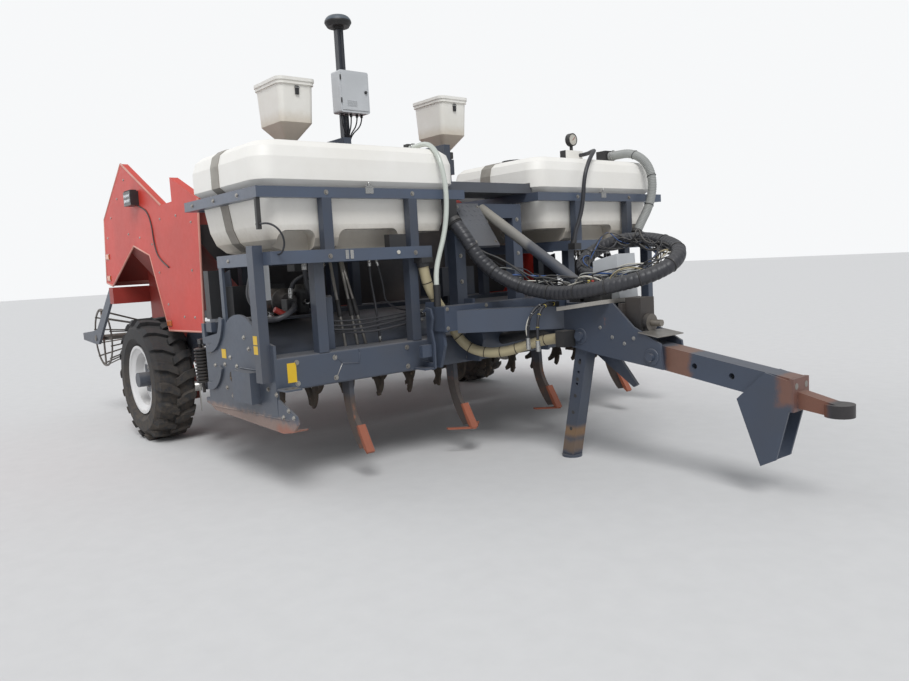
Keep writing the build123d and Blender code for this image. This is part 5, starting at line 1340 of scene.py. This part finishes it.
LOOM_STRANDS = tangle(34, 5)
COUPLER_STRANDS = (
    Strand(0.05, 1.0, 0.30, (440, -330, 800), 3.5, WIRE_WHITE, 4, 1.0),
    Strand(0.0, 0.9, 0.35, (500, -320, 790), 4.0, HOSE, 5, 1.4),
)
HOSES = [
    Hose("hose_loom", 0.080, 2.721, HOSE, "hose_rubber", Wall.SPIRAL, LOOM_ROUTE, pitch=0.030,
         strands=LOOM_STRANDS, ties=(170.0, 3.0)),
    Hose("suction_hose", 0.060, 1.169, CREAM, "pale_hose", Wall.PLAIN, SUCTION_ROUTE, ties=(95.0, 2.5),
         tie_finish=TINES),
    Hose("clear_hose", 0.030, 1.077, MILKY, "clear_hose", Wall.PLAIN, CLEAR_ROUTE, "medium"),
    Hose("fill_hose", 0.065, 0.888, GREY_HOSE, "pale_hose", Wall.RIBBED, FILL_ROUTE, pitch=0.012,
         ties=(210.0, 2.5)),
    Hose("vent_hose", 0.028, 1.026, HOSE, "hose_rubber", Wall.PLAIN, VENT_ROUTE, "medium"),
    Hose("coupler_hose_rear", 0.016, 0.282, HOSE, "hose_rubber", Wall.PLAIN, COUPLER_REAR_ROUTE, "medium",
         "connector", on_it=("coupler_rear",), strands=COUPLER_STRANDS, ties=(60.0, 2.0), tie_finish=SILVER),
    Hose("coupler_hose_front", 0.016, 0.289, HOSE, "hose_rubber", Wall.PLAIN, COUPLER_FRONT_ROUTE, "medium",
         "connector", on_it=("coupler_front",), ties=(60.0, 2.0), tie_finish=WIRE_YELLOW),
    Hose("sensor_cable", 0.010, 0.305, HOSE, "hose_rubber", Wall.PLAIN, SENSOR_ROUTE, "limp"),
]


@dataclass
class Tiller:
    """What sits on the tiller's two end plates and its front beam."""

    outer: float = 1595.0
    beam_front: float = -60.0
    hook_width: float = 44.0
    soil: float = 9.0

    def hooks(self, side: int) -> None:
        """Two bent arms that hold the disc and the spring, outside one end plate."""
        piece = Piece(f"disc_hooks_{flank(side)}", "chassis", "frame_paint", (END_PLATE,))
        for middle, reach, first, last in (((-880, 950), 215, -8, -98), ((-905, 700), 190, -20, -98)):
            piece.side_plate(side, ribbon(arc(middle, reach, first, last), self.hook_width),
                             (self.outer, self.outer + 14))
        piece.done()

    def labels(self) -> None:
        """Blank yellow plates on the right end plate, its post and the beam."""
        piece = Piece("yellow_plates", "chassis", "guard_plastic", (YELLOW,))
        piece.box((-712, -1596.6, 690), (-655, -1594.5, 742), 0.6)
        piece.box((-62, -1526, 590), (-58.4, -1474, 692), 0.6)
        piece.box((-166, -1650.9, 748), (-120, -1648.9, 792), 0.6)
        piece.box((-166, -1650.9, 798), (-120, -1648.9, 844), 0.6)
        piece.done()

    def wear_edge(self, side: int) -> None:
        """Weld beads along the skid and the pocket."""
        piece = Piece(f"skid_welds_{flank(side)}", "chassis", "frame_paint", (END_PLATE,))
        across = side * self.outer
        for start, end in (((-900, 392), (-480, 404)), ((-480, 404), (60, 420)), ((-478, 650), (-240, 650)),
                           ((-478, 470), (-240, 470))):
            piece.rod((start[0], across, start[1]), (end[0], across, end[1]), 4.0, 8)
        piece.done()

    def nose(self, side: int) -> None:
        """Top plate on the nose of one end plate, with dark discs in its slots as painted shade."""
        piece = Piece(f"nose_plate_{flank(side)}", "chassis", "frame_paint", (END_PLATE, DARK))
        piece.side_box(side, (-58, 40), (1500, 1592), (560, 570))
        for across in (1525.0, 1565.0):
            # painted shade: thin dark discs stand for the shaded inside of the slots
            piece.rod((-8, side * across, 569.5), (-8, side * across, 571.2), 9, 14, 1, lip=0.3)
        piece.done()

    def marks(self) -> None:
        """The welded-in stiffener's outline on the beam, and two wear pads."""
        piece = Piece("beam_welds", "chassis", "frame_paint", (CROSSBEAM, STEEL))
        line = [(-1226, 722), (-1237, 700), (-1196, 652), (-1090, 640), (-1080, 700), (-1090, 722)]
        for first, second in zip(line, line[1:]):
            piece.rod((self.beam_front, *first), (self.beam_front, *second), 3.5, 8)
        piece.rod((self.beam_front, -1196, 652), (self.beam_front, -1232, 590), 2.5, 8, 1)
        piece.rod((self.beam_front, 1196, 652), (self.beam_front, 1232, 590), 3.5, 8)
        piece.done()

    def latch(self, side: int) -> None:
        """Bent catch that hangs on the front beam beside the middle."""
        piece = Piece(f"beam_catch_{flank(side)}", "chassis", "frame_paint", (FRAME_CLEAN,))
        outline = [(-60, 560), (30, 548), (56, 560), (60, 700), (40, 780), (58, 850), (40, 905), (0, 912), (-34, 890),
                   (-30, 880), (0, 896), (28, 892), (40, 850), (22, 782), (40, 690), (36, 590), (-60, 600)]
        piece.side_plate(side, outline, (640, 652), 0, 1.2)
        piece.side_box(side, (2, 36), (652, 720), (628, 700), 3)
        piece.side_box(side, (-60, 50), (652, 802) if side > 0 else (652, 720), (556, 566), 3)
        piece.done()

    def build(self) -> None:
        """Make all of it for both sides."""
        plate_bolts = Fasteners("tiller_bolts", "chassis")
        for side in (-1, 1):
            self.hooks(side)
            self.wear_edge(side)
            self.nose(side)
            self.latch(side)
            for station, height in ((-600, 700), (-520, 655), (-680, 655), (-600, 480), (-525, 520), (-675, 520),
                                    (-150, 660), (-150, 560), (-60, 540), (60, 470), (110, 440), (0, 430),
                                    (-880, 720), (-820, 640), (-400, 820), (-350, 760)):
                plate_bolts.drive("tiller_end_plates", (station, side * 1800, height), (0, -side, 0), 10)
            for across in (300, 760, 1240, 1470):
                for height in (580, 690):
                    plate_bolts.add((self.beam_front, side * across, height), (1, 0, 0), 11)
        plate_bolts.build()
        self.labels()
        self.marks()
        clods("tiller_rotor", "rotor", 260.0, self.soil, SOIL, 11)


@dataclass
class Wheels:
    """Nuts, hub caps and valves of the two wheels."""

    station: float = -2168.0
    height: float = 440.0
    nut_ring: float = 82.0

    def hub(self, side: int) -> None:
        """Hub cap with its flange, its nuts and the valve of one wheel."""
        body = f"wheel_{flank(side)}"
        start = (self.station, side * 1900, self.height + 60)
        face = abs(surface(f"rim_{flank(side)}", start, (0, -side, 0))[1])
        spot = (self.station, side * (face - 1), self.height)
        out = (self.station, side * 2000, self.height)
        piece = Piece(f"hub_{flank(side)}", body, "rim_paint", (FRAME_CLEAN, DARK))
        piece.lathe(spot, out, [(0, 62), (6, 62), (8, 58), (10, 46), (26, 44), (30, 40), (32, 24)], 32)
        piece.rod((self.station + 128, side * (face - 2), self.height + 40),
                  (self.station + 134, side * (face + 26), self.height + 42), 5, 12, 1)
        piece.done()
        nuts = Fasteners(f"wheel_nuts_{flank(side)}", body)
        nuts.ring((self.station, side * face, self.height), (0, side, 0), self.nut_ring, 6, 11)
        nuts.build()

    def build(self) -> None:
        """Dress both wheels."""
        for side in (-1, 1):
            self.hub(side)


@dataclass
class Tanks:
    """Caps, neck clamps, the gauge and the clamps on the rails."""

    cap_station: float = -672.0
    cap_across: float = 782.0
    grips: int = 24
    gauge: Span = (1001.0, 2002.0)

    def cap(self, side: int) -> None:
        """Grip ring and raised middle of one cap."""
        top = surface("tanks", (self.cap_station, side * self.cap_across, 2600), (0, 0, -1))[2]
        piece = Piece(f"cap_grips_{flank(side)}", "chassis", "tank_plastic", (DARK,))
        outline = []
        for step in range(self.grips * 2):
            turn = math.pi * step / self.grips
            reach = 99.0 if step % 2 else 94.0
            outline.append((self.cap_station + reach * math.cos(turn),
                            side * self.cap_across + reach * math.sin(turn)))
        piece.plate(outline, top - 16, top + 3, 0, 0.8, True)
        piece.lathe((self.cap_station, side * self.cap_across, top), (self.cap_station, side * self.cap_across, 3000),
                    [(2, 60), (6, 58), (8, 40), (9, 38)], 32)
        piece.done()

    def dial(self) -> None:
        """Bezel, pale face and needle of the gauge."""
        across, height = self.gauge
        station = surface("tanks", (400, across, height), (-1, 0, 0))[0]
        piece = Piece("gauge_face", "chassis", "guard_plastic", (DARK, PALE, WIRE_RED))
        piece.lathe((station - 1, across, height), (900, across, height),
                    [(0, 46), (5, 46), (7, 44), (7, 40), (3, 39)], 36)
        piece.lathe((station, across, height), (900, across, height), [(0, 38), (3.2, 38)], 32, 1)
        piece.rod((station + 4.4, across - 5, height - 6), (station + 4.4, across + 22, height + 20), 1.6, 8, 2)
        piece.done()

    def clamps(self) -> None:
        """Steel clamps on the front rails and pale labels on the base beam."""
        piece = Piece("rail_clamps", "chassis", "bare_steel", (SILVER, PALE))
        for across in (-1016, 950):
            piece.box((-8, across, 1556), (3, across + 52, 1592), 2)
            piece.box((-24, across + 6, 1587), (3, across + 46, 1598), 2)
            piece.rod((-2, across + 26, 1596), (-2, across + 26, 1618), 7, 12)
        for across in (-1166, -1136):
            piece.box((0, across, 1212), (4, across + 18, 1258), 2, 1)
        piece.rod((-1, -822, 1236), (6, -822, 1236), 11, 16, 1)
        piece.done()

    def neck_clamps(self) -> None:
        """Hose clamps on the two necks."""
        piece = Piece("neck_clamps", "chassis", "bare_steel", (SILVER,))
        for station, across, height, radius in ((-262, 1420, 1900, 36), (-268, -480, 1866, 18)):
            piece.lathe((station, across, height), (-200, across, height),
                        [(0, radius - 2), (0.5, radius), (11.5, radius), (12, radius - 2)], 28)
            top = height + radius + 2
            piece.rod((station + 6, across - 12, top), (station + 6, across + 14, top), 4, 10)
        piece.done()

    def build(self) -> None:
        """Dress both tanks."""
        for side in (-1, 1):
            self.cap(side)
        self.dial()
        self.clamps()
        self.neck_clamps()
        bolts = Fasteners("deck_bolts", "chassis")
        for side in (-1, 1):
            for across in (702, 1259):
                for height in (1230, 1560):
                    bolts.add((0, side * across, height), (1, 0, 0), 10)
            for station in (-820, -520, -220):
                for height in (1560, 1233):
                    bolts.drive("tank_side_members", (station, side * 1900, height), (0, -side, 0), 9)
        bolts.build()


@dataclass
class Steps:
    """Raised pattern on the walkway and on the sloping tread panel."""

    lean: float = 55.84
    pitch: float = 34.0
    into_panel: Point = (-0.826, 0.0, -0.561)

    def build(self) -> None:
        """Cover both plates with lozenges."""
        front = surface("tread_plates", (400, -200, 1680), self.into_panel)
        quilting("tread_panel_pattern", front, (320, 186), self.lean, self.pitch)
        top = surface("tread_plates", (-281, 0, 2400), (0, 0, -1))
        quilting("walkway_pattern", top, (350, 700), 0.0, self.pitch)
        bolts = Fasteners("headstock_bolts", "chassis")
        for across in (-282, -118):
            for share in (0.1, 0.9):
                station, height = -140 + 190 * share, 1520 - 280 * share
                bolts.drive("tread_plates", (station + 248, across, height + 168), self.into_panel, 8)
        for side in (-1, 1):
            for height in (1040, 1200, 1420):
                bolts.drive("headstock", (400, side * 250, height), (-1, 0, 0), 10)
        bolts.build()


@dataclass
class Machinery:
    """Pumps, pipes, struts and boxes between the tank deck and the front beam."""

    strut: float = 9.0
    pipe: float = 15.0
    base: float = 902.0

    def struts(self) -> None:
        """Pale rods from the deck to the beam."""
        piece = Piece("deck_struts", "chassis", "bare_steel", (BOLT, DARK))
        for start, end in (((-300, -1087, 1200), (-215, -1074, 724)), ((-300, -1020, 1200), (-215, -993, 724)),
                           ((-300, -1010, 1200), (-215, -938, 724)), ((-300, 1087, 1200), (-215, 1074, 724)),
                           ((-300, 1020, 1200), (-215, 993, 724))):
            piece.rod(start, end, self.strut, 12)
            middle = tuple(0.55 * one + 0.45 * two for one, two in zip(start, end))
            lower = tuple(0.35 * one + 0.65 * two for one, two in zip(start, end))
            piece.rod(middle, lower, self.strut + 5, 14, 1)
        piece.done()

    def pump(self, side: int) -> None:
        """Motor, pump and filters over the tiller's hood, under one tank."""
        piece = Piece(f"pump_{flank(side)}", "chassis", "guard_plastic", (DARK, GEARBOX, SILVER, WIRE_RED, FRAME))
        base = self.base
        piece.side_box(side, (-640, -330), (1180, 1480), (base, base + 14), 3, 4)
        piece.lathe((-620, side * 1330, base + 92), (-300, side * 1330, base + 92),
                    [(0, 58), (8, 74), (150, 74), (158, 64), (190, 62), (196, 76), (214, 76), (220, 52), (262, 48)],
                    30, 1)
        piece.side_box(side, (-560, -470), (1285, 1375), (base + 12, base + 44), 4, 1)
        for across, height in ((1220, base + 14), (1120, base + 60)):
            piece.lathe((-420, side * across, height), (-420, side * across, height + 200),
                        [(0, 30), (10, 40), (110, 40), (116, 46), (140, 46), (148, 34), (170, 30)], 24, 0)
        piece.side_box(side, (-470, -380), (1080, 1270), (1160, 1202), 4, 1)
        piece.side_box(side, (-340, -270), (1330, 1390), (base + 40, base + 110), 5, 0)
        piece.rod((-300, side * 1400, base + 12), (-300, side * 1480, base + 12), 12, 8, 2)
        piece.rod((-290, side * 1355, base + 108), (-290, side * 1355, base + 140), 11, 8, 2)
        piece.rod((-262, side * 1470, base + 62), (-262, side * 1400, base + 25), 16, 12, 3)
        piece.done()

    def pipes(self, side: int) -> None:
        """Pipes clamped between the pump, the block and the deck."""
        piece = Piece(f"pipes_{flank(side)}", "chassis", "hose_rubber", (HOSE, SILVER))
        ways = (
            ((-358, 1335, 990), (-250, 1350, 985), (-180, 1400, 960), (-160, 1470, 925), (-200, 1530, 910),
             (-300, 1560, 915)),
            ((-420, 1500, 1195), (-400, 1530, 1120), (-380, 1560, 1040), (-330, 1540, 970), (-300, 1490, 930),
             (-300, 1470, 914)),
            ((-290, 1355, 1035), (-290, 1350, 1090), (-280, 1300, 1130), (-260, 1200, 1150), (-300, 1130, 1190)),
            ((-250, 1280, 1200), (-250, 1280, 1100), (-270, 1250, 1030), (-330, 1220, 990), (-385, 1220, 985)),
            ((-180, 900, 1200), (-180, 905, 1120), (-190, 880, 1000), (-200, 860, 900), (-210, 840, 726)),
            ((-170, 860, 1200), (-170, 820, 1060), (-200, 800, 960), (-210, 700, 900), (-220, 560, 880)),
            ((-220, 1250, 860), (-160, 1100, 840), (-150, 900, 850), (-170, 720, 862), (-200, 500, 866)),
            ((-220, 1240, 838), (-150, 1080, 815), (-140, 880, 828), (-170, 700, 846), (-200, 480, 850)),
            ((-220, 1230, 880), (-150, 1060, 868), (-140, 900, 872), (-170, 740, 880), (-200, 520, 884)),
            ((-220, 1225, 826), (-150, 1040, 796), (-140, 860, 800), (-160, 700, 816), (-200, 520, 826)),
        )
        radii = (self.pipe, 18.0, 10.0, 12.0, 7.0, 5.0, 6.0, 6.0, 5.0, 6.0)
        for way, radius in zip(ways, radii):
            points = [(station, side * across, height) for station, across, height in way]
            piece.tube(points, radius, 10)
            for first, second in ((points[0], points[1]), (points[-1], points[-2])):
                run = Vector(second) - Vector(first)
                piece.rod(first, tuple(Vector(first) + run.normalized() * 34), radius + 3, 8, 1)
        piece.done()

    def shields(self, side: int) -> None:
        """Guard plates and a small box behind the corner post."""
        piece = Piece(f"rear_guards_{flank(side)}", "chassis", "guard_plastic", (FRAME,))
        piece.side_plate(side, [(-1080, 1150), (-900, 1190), (-880, 900), (-900, 820), (-1060, 800)], (1420, 1428))
        piece.side_plate(side, [(-840, 1180), (-816, 1180), (-796, 820), (-826, 820)], (1500, 1512))
        piece.side_box(side, (-930, -850), (1560, 1590), (830, 890), 4)
        piece.side_plate(side, [(-200, 724), (-160, 724), (-158, 1010), (-178, 1022), (-198, 1010)], (1172, 1212))
        piece.done()

    def build(self) -> None:
        """Make both sides' machinery."""
        self.struts()
        for side in (-1, 1):
            self.pump(side)
            self.pipes(side)
            self.shields(side)


@dataclass
class Drawbar:
    """Pads, bolts, a cover plate and valves on the drawbar."""

    pins: tuple[Span, ...] = ((680.0, 717.0), (1149.0, 628.0))
    pad: float = 44.0

    def pin_pads(self) -> None:
        """Round pads with a bolt through them on both cheeks."""
        piece = Piece("cheek_pads", "chassis", "frame_paint", (FRAME_CLEAN,))
        bolts = Fasteners("cheek_bolts", "chassis", SILVER)
        for station, height in self.pins:
            for side in (-1, 1):
                piece.lathe((station, side * 98, height), (station, side * 300, height),
                            [(0, self.pad), (5, self.pad), (8, self.pad - 3)], 36)
                bolts.add((station - 8, side * 106, height - 4), (0, side, 0), 15)
        for station, height in ((820, 770), (900, 720), (980, 690), (1040, 720)):
            for side in (-1, 1):
                bolts.drive("drawbar_cheeks", (station, side * 400, height), (0, -side, 0), 8)
        piece.done()
        bolts.build()

    def cover(self) -> None:
        """Worn pale plate over the cheeks' front end."""
        top = surface("drawbar_cheeks", (1120, 92, 1300), (0, 0, -1))[2]
        piece = Piece("cheek_cover", "chassis", "bare_steel", (BOLT,))
        piece.box((1075, -112, top + 1), (1200, 112, top + 7), 2, 0, 9.5)
        piece.done()

    def arm_bolts(self) -> None:
        """Bolts on the cross tube's brackets and the hitch's face."""
        bolts = Fasteners("drawbar_bolts", "chassis")
        for across in (-45, 45):
            for height in (455, 535):
                bolts.drive("telescopic_bar", (1600, across, height), (1, 0, 0), 11)
        for side in (-1, 1):
            for across in (300, 600):
                for height in (790, 900):
                    bolts.drive("drawbar_mount", (500, side * across, height), (-1, 0, 0), 9)
        bolts.build()

    def plugs(self) -> None:
        """Two blocks of valves over the tray, one with coloured plugs."""
        piece = Piece("tray_valves", "chassis", "guard_plastic", (DARK, WIRE_YELLOW, WIRE_RED, SILVER, WIRE_WHITE))
        top = surface("hose_tray", (800, 60, 1500), (0, 0, -1))[2]
        piece.box((640, -140, top - 4), (720, -60, top + 50), 5)
        piece.box((735, -130, top - 4), (860, -40, top + 62), 5)
        for step, cap in enumerate((1, 2, 0, 4)):
            station = 752 + 28 * step
            piece.rod((station, -100, top + 60), (station, -100, top + 92), 10, 10, 3)
            piece.rod((station, -100, top + 90), (station, -100, top + 116), 8, 10, cap)
        piece.done()

    def build(self) -> None:
        """Dress the drawbar."""
        self.pin_pads()
        self.cover()
        self.arm_bolts()
        self.plugs()


@dataclass
class Hopper:
    """Edges, reflectors, bolts and lamps on the hopper's sides."""

    outer: float = 1500.0
    edge: float = 7.0
    corners: tuple[Span, ...] = (
        (-2543, 2024), (-3092, 1651), (-3184, 1143), (-3026, 1117), (-2413, 1408), (-2075, 1325), (-1814, 799),
        (-1196, 811), (-1119, 1636), (-1555, 1810), (-1555, 1655), (-1770, 1650))
    raw_edges: tuple[int, ...] = (8, 9, 10)

    def edges(self, side: int) -> None:
        """Rolled edge round one side panel."""
        piece = Piece(f"panel_edge_{flank(side)}", "chassis", "red_paint", (EDGE,))
        ring = [*self.corners, self.corners[0]]
        across = side * (self.outer - 3)
        for number, (first, second) in enumerate(zip(ring, ring[1:])):
            if number not in self.raw_edges:
                piece.rod((first[0], across, first[1]), (second[0], across, second[1]), self.edge, 10)
        piece.done()

    def reflectors(self, side: int) -> None:
        """Orange reflectors with dark rims, and the clips of the lamp's cable."""
        piece = Piece(f"reflectors_{flank(side)}", "chassis", "lamp", (ORANGE, DARK))
        for station, height in ((-3082, 1352), (-3098, 1180), (-1790, 850)):
            piece.side_box(side, (station - 42, station + 42), (self.outer - 0.5, self.outer + 4),
                           (height - 22, height + 22), 2, 1)
            piece.side_box(side, (station - 37, station + 37), (self.outer + 3, self.outer + 8),
                           (height - 17, height + 17), 3)
        points = [(-2230, 1690), (-2120, 1660), (-2030, 1627), (-1965, 1531), (-1950, 1393), (-1880, 1290),
                  (-1700, 1230)]
        piece.tube([(one, side * (self.outer + 4), two) for one, two in points], 4.5, 8, 1)
        piece.done()

    def lamps(self, side: int) -> None:
        """Lens, rim and cooling ribs of the work lamp on one panel."""
        face = abs(surface("work_lamps", (-2270, side * 1900, 1740), (0, -side, 0))[1])
        piece = Piece(f"lamp_face_{flank(side)}", "chassis", "lamp", (LAMP, LENS))
        for column in range(4):
            for row in range(2):
                spot = (-2318 + 32 * column, side * (face - 1), 1722 + 36 * row)
                piece.lathe(spot, (spot[0], side * 2400, spot[2]), [(0, 13), (3, 13), (4, 11), (4.6, 6)], 18, 1)
        for step in range(7):
            piece.side_box(side, (-2340 + 22 * step, -2334 + 22 * step), (1510, 1556), (1789, 1799), 1)
        piece.done()

    def build(self) -> None:
        """Dress both panels."""
        bolts = Fasteners("hopper_bolts", "chassis")
        for side in (-1, 1):
            self.edges(side)
            self.reflectors(side)
            self.lamps(side)
            for station, height in ((-2500, 1900), (-2700, 1780), (-2900, 1650), (-3030, 1500), (-2500, 1500),
                                    (-2250, 1460), (-2000, 1400), (-1900, 1200), (-1780, 980), (-1500, 900),
                                    (-1320, 900), (-1300, 1200), (-1250, 1500), (-1500, 1560), (-1800, 1560)):
                bolts.add((station, side * self.outer, height), (0, side, 0), 7)
        bolts.build()


@dataclass
class Applicator:
    """Outlets and catches of the granule bins, the cabinet's door and the receiver's trim."""

    station: float = -1420.0
    across: float = 696.0

    def outlets(self, side: int) -> None:
        """Metering box and pipes below one bin."""
        piece = Piece(f"granule_outlet_{flank(side)}", "chassis", "guard_plastic", (DARK, MILKY))
        y = side * self.across
        floor = surface("granule_bins", (self.station, y, 1500), (0, 0, 1))[2]
        piece.box((self.station - 60, y - 66, floor - 52), (self.station + 60, y + 66, floor + 2), 6)
        piece.rod((self.station + 58, y, floor - 26), (self.station + 92, y, floor - 26), 22, 20)
        for step in (-1, 0, 1):
            start = (self.station, y + 38 * step, floor - 48)
            piece.tube([start, (self.station, y + 40 * step, floor - 110),
                        (self.station - 6, y + 58 * step, floor - 180),
                        (self.station - 20, y + 66 * step, floor - 250)], 11, 10, 1)
        piece.done()

    def catch(self, side: int) -> None:
        """Catch and its pin on the front of one bin."""
        y = side * self.across
        front = surface("granule_bins", (-900, y, 2400), (-1, 0, 0))[0]
        piece = Piece(f"bin_catch_{flank(side)}", "chassis", "guard_plastic", (DARK, SILVER))
        piece.box((front - 2, y - 14, 2350), (front + 9, y + 14, 2408), 3)
        piece.rod((front + 7, y - 20, 2396), (front + 7, y + 20, 2396), 4, 10, 1)
        piece.done()

    def cabinet(self) -> None:
        """Door, hinges, vents and wires of the cabinet on the mast."""
        front = surface("control_boxes", (-900, -200, 2420), (-1, 0, 0))[0]
        piece = Piece("cabinet_door", "chassis", "pale_box", (BOX, DARK, HOSE))
        piece.box((front - 1, -312, 2292), (front + 5, -92, 2554), 4)
        for height in (2340, 2500):
            piece.rod((front + 5, -318, height), (front + 5, -318, height + 34), 5, 10, 1)
        piece.rod((front + 4, -112, 2425), (front + 15, -112, 2425), 11, 16, 1)
        for step in range(5):
            piece.box((front + 4, -270, 2318 + 9 * step), (front + 6.5, -190, 2322 + 9 * step), 0.6, 1)
        for step, across in enumerate((-290, -250, -210, -160, -120)):
            piece.rod((-1340, across, 2276), (-1340, across, 2254), 10, 12, 1)
            piece.tube([(-1340, across, 2260), (-1344, across, 2200), (-1380, -230 + 8 * step, 2130),
                        (-1408, -222 + 6 * step, 2040), (-1412, -218 + 5 * step, 1900)], 5, 8, 2)
        piece.done()

    def receiver(self) -> None:
        """Seam and cable of the receiver on the mast."""
        piece = Piece("receiver_trim", "chassis", "pale_box", (DARK, HOSE))
        spot = surface("receiver_mast", (-1420, -220, 3200), (0, 0, -1))
        piece.lathe((spot[0], -220, spot[2] - 44), (spot[0], -220, 3300), [(0, 92), (1, 94), (5, 94), (6, 92)], 40)
        piece.tube([(-1398, -220, 2890), (-1386, -220, 2840), (-1384, -220, 2760), (-1384, -220, 2600)], 4, 8, 1)
        piece.done()

    def build(self) -> None:
        """Dress the applicator."""
        for side in (-1, 1):
            self.outlets(side)
            self.catch(side)
        self.cabinet()
        self.receiver()
        bolts = Fasteners("applicator_bolts", "chassis")
        for side in (-1, 1):
            for across in (300, 440, 600):
                bolts.drive("granule_beam", (-900, side * across, 2030), (-1, 0, 0), 9)
        bolts.build()


@dataclass
class Stand:
    """Dark discs in the parking leg's holes, painted shade for the holes."""

    top: Point = (680.0, -100.0, 717.0)
    foot: Point = (530.0, -100.0, 20.0)
    holes: int = 5

    def build(self) -> None:
        """Set them on both faces."""
        piece = Piece("leg_holes", "stand", "bare_steel", (DARK,))
        for step in range(self.holes):
            share = 0.22 + 0.14 * step
            station = self.top[0] + (self.foot[0] - self.top[0]) * share
            height = self.top[2] + (self.foot[2] - self.top[2]) * share
            for side in (-1, 1):
                spot = surface("stand_leg", (station, side * 300 - 40, height), (0, -side, 0))
                # painted shade: a thin dark disc stands for the shaded inside of each hole
                piece.lathe(spot, (spot[0], side * 900, spot[2]), [(-0.4, 11), (0.4, 11), (0.6, 10)], 20)
        piece.done()


@dataclass
class PlantingUnits:
    """Bolts and bearing caps on the planting units and the cage."""

    rows: tuple[float, ...] = (-1125.0, -375.0, 375.0, 1125.0)
    cage_station: float = -3520.0

    def build(self) -> None:
        """Dress the units and the cage's ends."""
        bolts = Fasteners("unit_bolts", "chassis")
        for across in self.rows:
            for height in (700, 1000, 1300, 1560):
                for offset in (-120, 110):
                    bolts.drive("planting_units", (-4000, across + offset, height), (1, 0, 0), 8)
        bolts.build()
        caps = Fasteners("cage_bolts", "cage")
        for side in (-1, 1):
            end = surface("cage_roller", (self.cage_station, side * 2200, 735), (0, -side, 0))[1]
            caps.ring((self.cage_station, end, 675), (0, side, 0), 60, 6, 8)
        caps.build()


class Studio:
    """The floor, the lights and the camera at the photograph's place."""

    eye: Point = (4.4126, -3.3336, 1.1703)
    heading: float = 39.4676
    dip: float = 5.9358
    roll: float = 3.0908
    lens: float = 30.2566
    sensor: float = 36.0

    def camera(self) -> None:
        """Set the camera that looks along the photograph's line."""
        heading, dip, roll = (math.radians(angle) for angle in (self.heading, self.dip, self.roll))
        ahead = Vector((-math.cos(heading) * math.cos(dip), math.sin(heading) * math.cos(dip), -math.sin(dip)))
        level = ahead.cross(Vector((0, 0, 1))).normalized()
        down = ahead.cross(level)
        right = level * math.cos(roll) + down * math.sin(roll)
        below = down * math.cos(roll) - level * math.sin(roll)
        data = bpy.data.cameras.new("view")
        data.lens = self.lens
        data.sensor_width = self.sensor
        made = add_object("view", data)
        turn = Matrix((right, -below, -ahead)).transposed().to_4x4()
        made.matrix_world = Matrix.Translation(self.eye) @ turn
        bpy.context.scene.camera = made

    def floor(self) -> None:
        """Lay a plain pale floor under the machine."""
        data = bpy.data.meshes.new("floor")
        half = 60.0
        data.from_pydata([(-half, -half, 0), (half, -half, 0), (half, half, 0), (-half, half, 0)], [], [(0, 1, 2, 3)])
        made = add_object("floor", data)
        tree = ShaderTree(bpy.data.materials.new("floor_pale"))
        grain = tree.noise(tree.place(), 9.0, 3.0)
        colour = tree.mix(grain, (0.60, 0.60, 0.60), (0.66, 0.66, 0.66))
        paint = tree.node("ShaderNodeBsdfPrincipled", None, {"Base Color": colour, "Roughness": 0.9})
        data.materials.append(tree.finish(paint))

    def lights(self) -> None:
        """Set a soft sky and one broad sun."""
        world = bpy.data.worlds.new("sky")
        bpy.context.scene.world = world
        tree = ShaderTree(world)
        camera = tree.node("ShaderNodeLightPath", output="Is Camera Ray")
        through = Value(tree, camera.socket.node.outputs["Is Transmission Ray"])
        seen = tree.node("ShaderNodeMath", {"operation": "MAXIMUM"}, {0: camera, 1: through})
        lit, shown = (tree.node("ShaderNodeBackground", None, {"Color": colour, "Strength": strength})
                      for colour, strength in (((0.80, 0.82, 0.85), 0.62), ((0.93, 0.94, 0.95), 1.0)))
        tree.finish(tree.node("ShaderNodeMixShader", None, {0: seen, 1: lit, 2: shown}), "ShaderNodeOutputWorld")
        for name, power, angle, turn in (
            ("sun", 1.9, 26.0, (38.0, 12.0, 42.0)),
            ("fill", 0.7, 60.0, (62.0, 0.0, -70.0)),
        ):
            data = bpy.data.lights.new(name, "SUN")
            data.energy = power
            data.angle = math.radians(angle)
            add_object(name, data).rotation_euler = [math.radians(part) for part in turn]

    def build(self) -> None:
        """Set all of it and the plain view transform."""
        self.camera()
        self.floor()
        self.lights()
        bpy.context.scene.view_settings.view_transform = "Standard"


def dress_nodes() -> None:
    """Give every CAD node that still shows its own finish."""
    for name, finish in NODE_FINISHES.items():
        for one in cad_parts[name].material_slots:
            one.link = "OBJECT"
            one.material = finish.material()
    LOG.info("dressed %d nodes", len(NODE_FINISHES))


def main() -> None:
    """Build the studio, the hoses and every sub-assembly in order."""
    logging.basicConfig(level=logging.INFO, format="%(name)s %(message)s")
    Studio().build()
    for hose in HOSES:
        hose.build()
    for assembly in (Tiller(), Wheels(), Tanks(), Steps(), Machinery(), Drawbar(), Hopper(), Applicator(), Stand(),
                     PlantingUnits()):
        assembly.build()
        LOG.info("%s done", type(assembly).__name__)
    dress_nodes()


if __name__ == "__main__":
    main()
